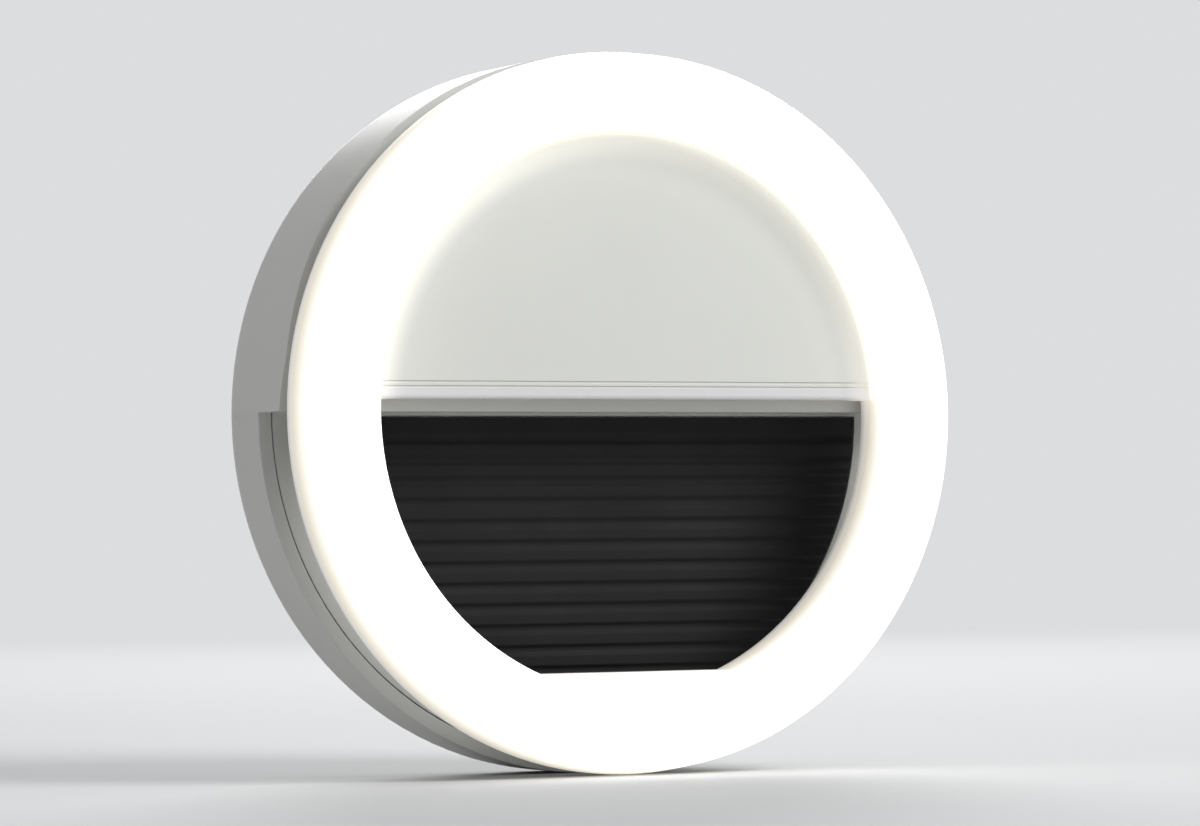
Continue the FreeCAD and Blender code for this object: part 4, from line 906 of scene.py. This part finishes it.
class RINGLIGHT_OT_springs(bpy.types.Operator):
    """Winds the two torsion springs on the pin and dresses the pin"""
    bl_idname = "ring_light.springs"
    bl_label = "Springs and pin"

    def execute(self, context):
        sizes = context.scene.ring_light_sizes
        # Steel wire, drawn hard: dark, smooth and streaked along its length
        wire = metal("spring_steel_drawn", "7E7E82", roughness=0.3, spacing=0.35, depth=0.006)
        for side, node in ((-1, "spring_left"), (1, "spring_right")):
            line = point_mesh([self.line(sizes, middle("hinge_pin"), side, node)])
            across_hinge(grown(node + "_wire", line, wire, tube_tree(), {
                "Radius": sizes.wire / 2, "Sides": 16}), node)
        # Steel rod, drawn and polished: fine bright streaks along the pin
        dress(metal("steel_drawn_bright", "B9BABD", roughness=0.24, spacing=1.2, depth=0.004,
                    stretch=(0.05, 1, 1)), "hinge_pin")
        return {"FINISHED"}

    @staticmethod
    def line(sizes, pin, side, node):
        """The wire's middle line: a leg on the web, the coil round the pin, a leg on the jaw."""
        low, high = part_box(node)
        half = sizes.wire / 2
        coil, leg = sizes.coil_radius, sizes.spring_leg
        lean_front = math.asin((pin.y - low.y - half - coil) / leg)
        lean_back = math.asin((high.y - half - pin.y - coil) / leg)
        first = TURN / 2 + lean_front
        last = TURN * (sizes.turns + 1) - lean_back
        inner = low.x + half if side > 0 else high.x - half
        room = (high.x - low.x) - 2 * half
        steps_to_turn, parts = 28, 6
        count = steps_to_turn * sizes.turns

        def point(turn):
            out = inner + side * room * (turn - first) / (last - first)
            return Vector((out, pin.y + coil * math.cos(turn), pin.z + coil * math.sin(turn)))

        def heading(turn):
            return Vector((0, -math.sin(turn), math.cos(turn)))

        points = [point(first) - heading(first) * leg * part / parts for part in range(parts, 0, -1)]
        points += [point(first + (last - first) * step / count) for step in range(count + 1)]
        points += [point(last) + heading(last) * leg * part / parts for part in range(1, parts + 1)]
        return points


class RINGLIGHT_OT_screws(bpy.types.Operator):
    """Makes the screws of the panel, the jaw and the control board"""
    bl_idname = "ring_light.screws"
    bl_label = "Screws"

    def execute(self, context):
        # Steel, cold formed and zinc plated: bright, faintly mottled grey with a blue cast
        zinc = metal("steel_zinc_plated", "A6A9AF", roughness=0.3, spacing=0.4, depth=0.006)
        tree = screw_tree()
        for node, head, faces_rear in (("panel_screws", 0.6, True), ("jaw_screws", 1.0, False),
                                       ("board_screws", 0.8, False)):
            boxes = islands(node)
            tops = [[((low.x + high.x) / 2, high.y if faces_rear else low.y, (low.z + high.z) / 2)]
                    for low, high in boxes]
            # All sizes but the thread's follow the width and length of the node's own screws
            span = boxes[0][1] - boxes[0][0]
            piece(node + "_driven", node, point_mesh(tops), zinc, tree, {
                "Head Radius": span.x * 0.5, "Head Height": head * MM, "Recess": span.x * 0.15,
                "Shank Radius": span.x * 0.26, "Shank Length": span.y - head * MM,
                "Pitch": 0.55 * MM, "Turn": -TURN / 4 if faces_rear else TURN / 4}, sharp=40)
        return {"FINISHED"}


class RINGLIGHT_OT_lamps(bpy.types.Operator):
    """Makes the lamps and resistors on the lamp board"""
    bl_idname = "ring_light.lamps"
    bl_label = "Lamp board"

    def execute(self, context):
        count = context.scene.ring_light_sizes.lamps
        low, high = max(islands("led_chips"), key=lambda box: box[1].z)
        ring = {"Radius": (low.z + high.z) / 2, "Level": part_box("led_board")[0].y}
        lamps = {"Count": count, "First": TURN / 4, **ring}
        resistors = {"Count": count // 3, "First": TURN / 4 - TURN / 2 / count, **ring}
        tree, bench = ring_tree(), lift_to((0, 0, 0), FLAT)
        # Glass-fibre board under a white solder mask, made to throw the light forwards
        dress(solder_mask("solder_mask_white", "E4E4DE", "D6D6CE"), "led_board")
        # Nylon-like resin, moulded round the lamp's frame: matt and pure white
        case = plastic("lamp_case_moulded_white", "EEEEEA")
        # Silicone filled with phosphor, cast: lemon yellow, glowing when the lamp is on
        face = plastic("lamp_phosphor_cast", "F0D860", roughness=0.35, more={
            "Emission Color": linear("FFF2CC"), "Emission Strength": 1.2})
        # Copper, tin plated and wetted with solder: bright and uneven
        tin = metal("copper_tinned_soldered", "C9CACC", roughness=0.25, spacing=0.3, depth=0.02)
        # Resistor glaze on a ceramic chip: glossy black
        glaze = plastic("resistor_glaze_black", "17171A", roughness=0.3)
        piece("lamp_cases", "led_chips", block(
            rounded(1.4, 1.68, 0.12, 3), [(0, 0), (0, 0.7), (0.08, 0.8)], bench,
            [(1.16, 0.8), (1.02, 0.58)]), case, tree, lamps)
        piece("lamp_faces", "led_chips", lathe(
            [(0, 0.56), (1.04, 0.56), (1.06, 0.66), (0.6, 0.7), (0, 0.71)], 16, bench),
            face, tree, lamps, replace=False)
        piece("lamp_terminals", "led_chips", block(
            rounded(0.35, 0.16, 0.05, 1), [(0, 0), (0, 0.22)], bench,
            spots=[(side, end) for end in (-1.6, 1.6) for side in (-0.75, 0.75)]),
            tin, tree, lamps, replace=False)
        piece("resistor_bodies", "led_resistors", block(
            rounded(0.72, 0.6, 0.06, 2), [(0, 0.06), (0, 0.52), (0.05, 0.57)], bench),
            glaze, tree, resistors)
        piece("resistor_ends", "led_resistors", block(
            rounded(0.17, 0.625, 0.06, 2), [(0, 0), (0, 0.55), (0.05, 0.6)], bench,
            spots=((-0.83, 0), (0.83, 0))), tin, tree, resistors, replace=False)
        return {"FINISHED"}


class RINGLIGHT_OT_leads(bpy.types.Operator):
    """Makes the leads of the lamps and of the battery"""
    bl_idname = "ring_light.leads"
    bl_label = "Leads"

    def execute(self, context):
        sizes = context.scene.ring_light_sizes
        half, tree = sizes.lead / 2, tube_tree()
        tube = {"Radius": half, "Sides": 14}
        # PVC, extruded over stranded copper: smooth, with a soft gloss
        white, red, black = (
            plastic(f"pvc_extruded_{name}", colour, roughness=0.36, grain=1.5)
            for name, colour in (("white", "DCDBD6"), ("red", "A81A14"), ("black", "17171A")))
        lines = []
        pin = middle("hinge_pin")
        for (near, _), (start, end) in zip(islands("led_lead_front"), islands("led_lead_rear")):
            across, inside = end.x - half, start.x + half
            up = (start.z + end.z) / 2
            lines.append(smooth_line([
                (across, near.y, up), (across, pin.y, up), (across, pin.y + sizes.lead_run, up),
                (inside, end.y - sizes.lead_end, up), (inside, end.y, up)]))
        across_hinge(grown("lamp_leads", point_mesh(lines), white, tree, tube),
                     "led_lead_front", "led_lead_rear")
        for node, finish in (("battery_lead_red", red), ("battery_lead_black", black)):
            low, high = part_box(node)
            line = smooth_line([
                (low.x + half, high.y - half, low.z),
                (low.x + half, high.y - half, low.z + sizes.tail_run),
                (high.x - half, low.y + half, high.z - sizes.tail_end),
                (high.x - half, low.y + half, high.z)])
            piece(node + "_run", node, point_mesh([line]), finish, tree, tube)
        return {"FINISHED"}


class RINGLIGHT_OT_board(bpy.types.Operator):
    """Dresses the control board and makes the components on it"""
    bl_idname = "ring_light.board"
    bl_label = "Control board"

    def execute(self, context):
        dress(solder_mask("solder_mask_green", "0C4F2D", "12663B"), "control_board")
        # Epoxy, transfer moulded: matt black with a fine grain
        epoxy = plastic("epoxy_moulded_black", "19191B", roughness=0.58, grain=0.3, depth=0.012)
        # Copper, tin plated: bright and uneven
        tin = metal("copper_tinned_board", "C6C7C9", roughness=0.26, spacing=0.3, depth=0.015)
        # Ceramic, pressed and fired: matt tan
        ceramic = plastic("ceramic_fired_tan", "9A7B58")
        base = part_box("control_board")[1].y
        row, blocks = row_tree(), block_tree()
        charger, driver = islands("board_chips")
        self.charger(seated(charger, base), epoxy, tin, row)
        self.driver(seated(driver, base), epoxy, tin, row)
        self.can(seated(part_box("board_capacitor"), base))
        # Small chip capacitors, by their places across and up the board
        places = [[(across * MM, base + 0.2 * MM, up * MM)] for across, up in (
            (5.5, 6.0), (5.5, 8.0), (5.5, 15.5), (8.0, 15.5), (7.6, 6.0), (13.6, 6.2), (13.6, 8.4),
            (22.0, 15.6), (22.4, 17.6), (21.6, 8.2), (28.6, 9.6), (28.6, 12.2), (30.8, 16.4),
            (30.8, 5.4), (-5.2, 15.8), (-8.4, 15.8), (-8.4, 5.6), (-4.6, 5.6))]
        piece("small_capacitors", "control_board", point_mesh(places), ceramic, blocks, {
            "Size": (0.9 * MM, 0.38 * MM, 0.62 * MM), "Pieces": 1}, replace=False)
        piece("small_capacitor_ends", "control_board", point_mesh(places), tin, blocks, {
            "Size": (0.26 * MM, 0.42 * MM, 0.66 * MM), "Pieces": 2, "Spread": 0.98 * MM},
            replace=False)
        self.plug(seated(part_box("battery_connector"), base), tin, row)
        # Resin, cast over the chip of the indicator: clear and glossy
        dress(plastic("resin_cast_clear", "E9E6D8", roughness=0.12), "indicator_led")
        # Polycarbonate, moulded and clear: the end of the light pipe looks like a bead of glass
        dress(plastic("polycarbonate_moulded_clear", "EEF3F6", roughness=0.1, grain=0.6, depth=0.004,
                      more={"Transmission Weight": 0.8}), "light_pipe")
        return {"FINISHED"}

    @staticmethod
    def charger(seat, epoxy, tin, row):
        """An eight-legged chip."""
        half_wide, half_high, tall, lift = seat
        piece("charger_chip", "board_chips", block(
            rounded(half_wide - 0.05, half_high - 0.6, 0.08, 2),
            [(0.12, 0.15), (0, tall * 0.5), (0.12, tall)], lift, [(0.3, tall), (0.26, tall - 0.06)]),
            epoxy)
        # A leg is a flat strip that comes out of the side, steps down and stands on the board
        form = bmesh.new()
        half_strip, thick, shoulder, pitch = 0.2, 0.12, tall * 0.55, 1.27
        first = 0.6 - half_wide
        strip = ((-half_strip, 0), (half_strip, 0), (half_strip, thick), (-half_strip, thick))
        for end in (-1, 1):
            path = ((0.62, shoulder), (0.42, shoulder), (0.34, thick), (0.02, thick))
            loft(form, [[lift(first + across, end * (half_high - inset), height + over)
                         for across, over in strip] for inset, height in path])
        piece("charger_legs", "board_chips", built(form), tin, row, {
            "Count": 4, "Step": (pitch * MM, 0, 0)}, replace=False)

    @staticmethod
    def driver(seat, epoxy, tin, row):
        """A flat chip whose contacts end flush with its sides."""
        half, _, tall, lift = seat
        half_contact, pitch = 0.12, 0.5
        piece("driver_chip", "board_chips", block(
            rounded(half - 0.03, half - 0.03, 0.05, 2),
            [(0, 0.03), (0, tall - 0.05), (0.05, tall)], lift, [(0.22, tall), (0.18, tall - 0.05)]),
            epoxy, replace=False)
        piece("driver_contacts", "board_chips", block(
            rounded(0.15, half_contact, 0.03, 1), [(0, 0), (0, 0.2)], lift,
            spots=[(pitch - half, end * (half - half_contact)) for end in (-1, 1)]), tin, row, {
                "Count": 5, "Step": (pitch * MM, 0, 0)}, replace=False)

    @staticmethod
    def can(seat):
        """An aluminium capacitor: drawn can with a crimped bead, on a black base."""
        radius, _, tall, lift = seat
        # Aluminium, drawn: satin, streaked along the can
        drawn = metal("aluminium_drawn_can", "C9CBCF", roughness=0.3, spacing=0.8, depth=0.006,
                      stretch=(1, 0.08, 1))
        wall, waist = radius * 0.96, radius * 0.86
        piece("capacitor_can", "board_capacitor", lathe([
            (0, 0.5), (radius * 0.9, 0.5), (wall, 0.62), (wall, 0.95), (waist, 1.1), (waist, 1.22),
            (wall, 1.38), (wall, tall - 0.3), (radius * 0.9, tall - 0.08), (radius * 0.8, tall),
            (radius * 0.74, tall - 0.05), (0, tall - 0.05)], 40, lift), drawn)
        # Polymer, moulded: dull black
        piece("capacitor_foot", "board_capacitor", block(
            rounded(radius - 0.02, radius - 0.02, 0.5, 2), [(0, 0), (0, 0.5), (0.08, 0.56)], lift),
            plastic("polymer_moulded_black", "1C1C1F"), replace=False)

    @staticmethod
    def plug(seat, tin, row):
        """The battery's connector: a nylon box with two pins."""
        half_wide, half_high, tall, lift = seat
        wall, floor, pitch = 0.55, 0.6, 2.0
        # Nylon, moulded and left undyed: ivory, slightly waxy
        piece("connector_housing", "battery_connector", block(
            rounded(half_wide, half_high, 0.25, 2),
            [(0.05, 0), (0, 0.1), (0, tall - 0.1), (0.08, tall), (wall - 0.08, tall),
             (wall, tall - 0.1), (wall, floor)], lift),
            plastic("nylon_moulded_natural", "E0DCC8", roughness=0.42, grain=0.5, depth=0.008))
        piece("connector_pins", "battery_connector", block(
            rounded(0.25, 0.25, 0.04, 1), [(0, 0.5), (0, tall - 0.5), (0.1, tall - 0.3)], lift,
            spots=((-pitch / 2, 0),)), tin, row, {"Count": 2, "Step": (pitch * MM, 0, 0)},
            replace=False)


class RINGLIGHT_OT_socket(bpy.types.Operator):
    """Makes the charging socket with its tongue and contacts"""
    bl_idname = "ring_light.socket"
    bl_label = "Charging socket"

    def execute(self, context):
        low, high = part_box("usb_socket")
        centre, half, deep = (low + high) / 2, (high - low) / (2 * MM), (high.x - low.x) / MM
        lift = lift_to((low.x, centre.y, centre.z), SLEEVE)
        sheet_thick, slope, fold = 0.3, 0.55, 0.05

        def section(inset, out):
            """The socket's outline, narrower along its front side, where the plug is keyed."""
            wide, tall = half.z - inset, half.y - inset
            bend = max(0.45 - inset, 0.12) * 0.6
            corners = [Vector(corner) for corner in (
                (wide, tall), (-wide, tall), (-wide, slope - tall), (slope - wide, -tall),
                (wide - slope, -tall), (wide, slope - tall))]
            points = []
            for place, here in enumerate(corners):
                near = here + (corners[place - 1] - here).normalized() * bend
                far = here + (corners[(place + 1) % len(corners)] - here).normalized() * bend
                points += [lift(*point, out) for point in (near, (near + far) / 4 + here / 2, far)]
            return points

        tongue_low, tongue_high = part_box("usb_tongue")
        tongue, reach = (tongue_low + tongue_high) / 2, (tongue_high.x - tongue_low.x) / MM
        form = bmesh.new()
        loft(form, [section(inset, out) for inset, out in (
            (0, 0), (0, deep - fold), (fold, deep), (sheet_thick - fold, deep),
            (sheet_thick, deep - fold), (sheet_thick, (tongue_low.x - low.x) / MM))])
        # Steel sheet, stamped, folded and tin plated: bright with a soft bloom
        sheet = metal("steel_tinned_stamped", "BFC1C4", roughness=0.26, spacing=0.5, depth=0.006)
        piece("socket_sleeve", "usb_socket", built(form), sheet)
        # Liquid-crystal polymer, moulded: dull black
        polymer = plastic("polymer_moulded_tongue", "131315")
        span = (tongue_high - tongue_low) / (2 * MM)
        piece("socket_tongue", "usb_tongue", block(
            rounded(span.y, span.z, 0.12, 2), [(0, 0), (0, reach - 0.12), (0.1, reach)],
            lift_to((tongue_low.x, tongue.y, tongue.z), SIDEWAYS)), polymer)
        # Copper alloy, stamped and gold plated: warm and bright
        gold = metal("copper_alloy_gold_plated", "D8B25A", roughness=0.22, spacing=0.5, depth=0.004)
        pitch = 0.65
        piece("socket_contacts", "usb_tongue", block(
            rounded(0.06, 0.17, 0.03, 1), [(0, 0.2), (0, reach - 0.35), (0.04, reach - 0.25)],
            lift_to((tongue_low.x, tongue_low.y, tongue.z), SIDEWAYS), spots=((-0.03, -2 * pitch),)),
            gold, row_tree(), {"Count": 5, "Step": (0, 0, pitch * MM)}, replace=False)
        return {"FINISHED"}


class RINGLIGHT_OT_switch(bpy.types.Operator):
    """Makes the push switch under the button"""
    bl_idname = "ring_light.switch"
    bl_label = "Push switch"

    def execute(self, context):
        half, _, tall, lift = seated(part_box("tact_switch"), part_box("control_board")[1].y)
        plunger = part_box("switch_plunger")
        stem, _, deep, stem_lift = seated(plunger, plunger[0].y)
        # Nylon, moulded: black and dull
        nylon = plastic("nylon_moulded_black", "1A1A1C", roughness=0.48, depth=0.008)
        piece("switch_case", "tact_switch", block(
            rounded(half, half, 0.5, 3), [(0.08, 0), (0, 0.1), (0, tall - 0.35)], lift,
            [(stem + 0.12, tall - 0.35), (stem + 0.12, tall - 2.0)]), nylon)
        # Stainless steel sheet, stamped: satin grey
        sheet = metal("stainless_steel_stamped", "B4B6B9", roughness=0.3, spacing=0.5, depth=0.005)
        under, top = tall - 0.34, tall - 0.06
        piece("switch_cover", "tact_switch", block(
            rounded(half - 0.05, half - 0.05, 0.45, 3), [(0, under), (0, top - 0.05), (0.05, top)],
            lift, [(stem + 0.5, top), (stem + 0.1, tall), (stem + 0.08, under)], through=True),
            sheet, replace=False)
        piece("switch_stem", "switch_plunger", lathe(
            [(0, 0), (stem - 0.1, 0), (stem, 0.1), (stem, deep - 0.25), (stem - 0.25, deep),
             (0, deep)], 32, stem_lift), nylon)
        return {"FINISHED"}


class RINGLIGHT_OT_battery(bpy.types.Operator):
    """Makes the foil battery with its tape"""
    bl_idname = "ring_light.battery"
    bl_label = "Battery"

    def execute(self, context):
        low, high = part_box("battery_cell")
        half_wide, half_high, thick, lift = seated((low, high), low.y)
        # A crimped rim runs round the middle. The flat sides lie a little inside the box, so that
        # the band of tape covers them
        side = ((0.015, 2.4), (0.03, 1.3), (0.1, 0.75), (0.25, 0.45), (0.46, 0.4), (0.485, 0.0))
        levels = [(inset, thick * share) for share, inset in side]
        levels += [(inset, thick * (1 - share)) for share, inset in reversed(side)]
        piece("battery_pouch", "battery_cell", block(
            rounded(half_wide, half_high, 2.4, 5), levels, lift), laminate_pressed())
        # Polyimide tape, wound round the battery's top: clear amber and glossy
        amber = plastic("polyimide_tape_amber", "B5761F", roughness=0.2, grain=1.2,
                        more={"Transmission Weight": 0.15})
        band_high, foot_below_top = 3.4, 3.74
        centre = middle("battery_cell")
        foot = lift_to((centre.x, centre.y, high.z - foot_below_top * MM), FLAT)
        piece("battery_band", "battery_cell", block(
            rounded(half_wide - 0.5, thick / 2, 1.1), [(0, 0), (0, band_high)], foot), amber,
            replace=False)
        # Foam tape, double sided: off white and porous
        foam = plastic("foam_tape_white", "E2E0D6", roughness=0.85, grain=0.35, depth=0.05)
        low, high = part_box("battery_tape")
        half_wide, half_high, thick, lift = seated((low, high), low.y)
        piece("battery_foam", "battery_tape", block(
            rounded(half_wide, half_high, 0.3, 2), [(0, 0), (0.06, 0.15), (0, 0.3)], lift), foam)
        return {"FINISHED"}


class RINGLIGHT_PT_panel(bpy.types.Panel):
    """Lists the ring light's settings and pieces"""
    bl_idname = "RINGLIGHT_PT_panel"
    bl_label = "Ring Light"
    bl_space_type = "VIEW_3D"
    bl_region_type = "UI"
    bl_category = "Ring Light"

    def draw(self, context):
        for group in GROUPS:
            settings = getattr(context.scene, group)
            box = self.layout.box()
            for name in settings.bl_rna.properties.keys():
                if name not in ("rna_type", "name"):
                    box.prop(settings, name)
        for operator in OPERATORS:
            self.layout.operator(operator.bl_idname)


GROUPS = {
    "ring_light_camera": RingLightCamera,
    "ring_light_studio": RingLightStudio,
    "ring_light_colours": RingLightColours,
    "ring_light_sizes": RingLightSizes,
}
OPERATORS = (
    RINGLIGHT_OT_camera,
    RINGLIGHT_OT_stage,
    RINGLIGHT_OT_shells,
    RINGLIGHT_OT_pads,
    RINGLIGHT_OT_springs,
    RINGLIGHT_OT_screws,
    RINGLIGHT_OT_lamps,
    RINGLIGHT_OT_leads,
    RINGLIGHT_OT_board,
    RINGLIGHT_OT_socket,
    RINGLIGHT_OT_switch,
    RINGLIGHT_OT_battery,
)
CLASSES = (*GROUPS.values(), *OPERATORS, RINGLIGHT_PT_panel)


def register():
    for each in CLASSES:
        bpy.utils.register_class(each)
    for name, group in GROUPS.items():
        setattr(bpy.types.Scene, name, bpy.props.PointerProperty(type=group))


def unregister():
    for name in GROUPS:
        delattr(bpy.types.Scene, name)
    for each in reversed(CLASSES):
        bpy.utils.unregister_class(each)


def main():
    """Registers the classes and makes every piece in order."""
    register()
    bpy.context.scene.view_settings.view_transform = "Standard"
    for operator in OPERATORS:
        family, action = operator.bl_idname.split(".")
        getattr(getattr(bpy.ops, family), action)()


if __name__ == "__main__":
    main()
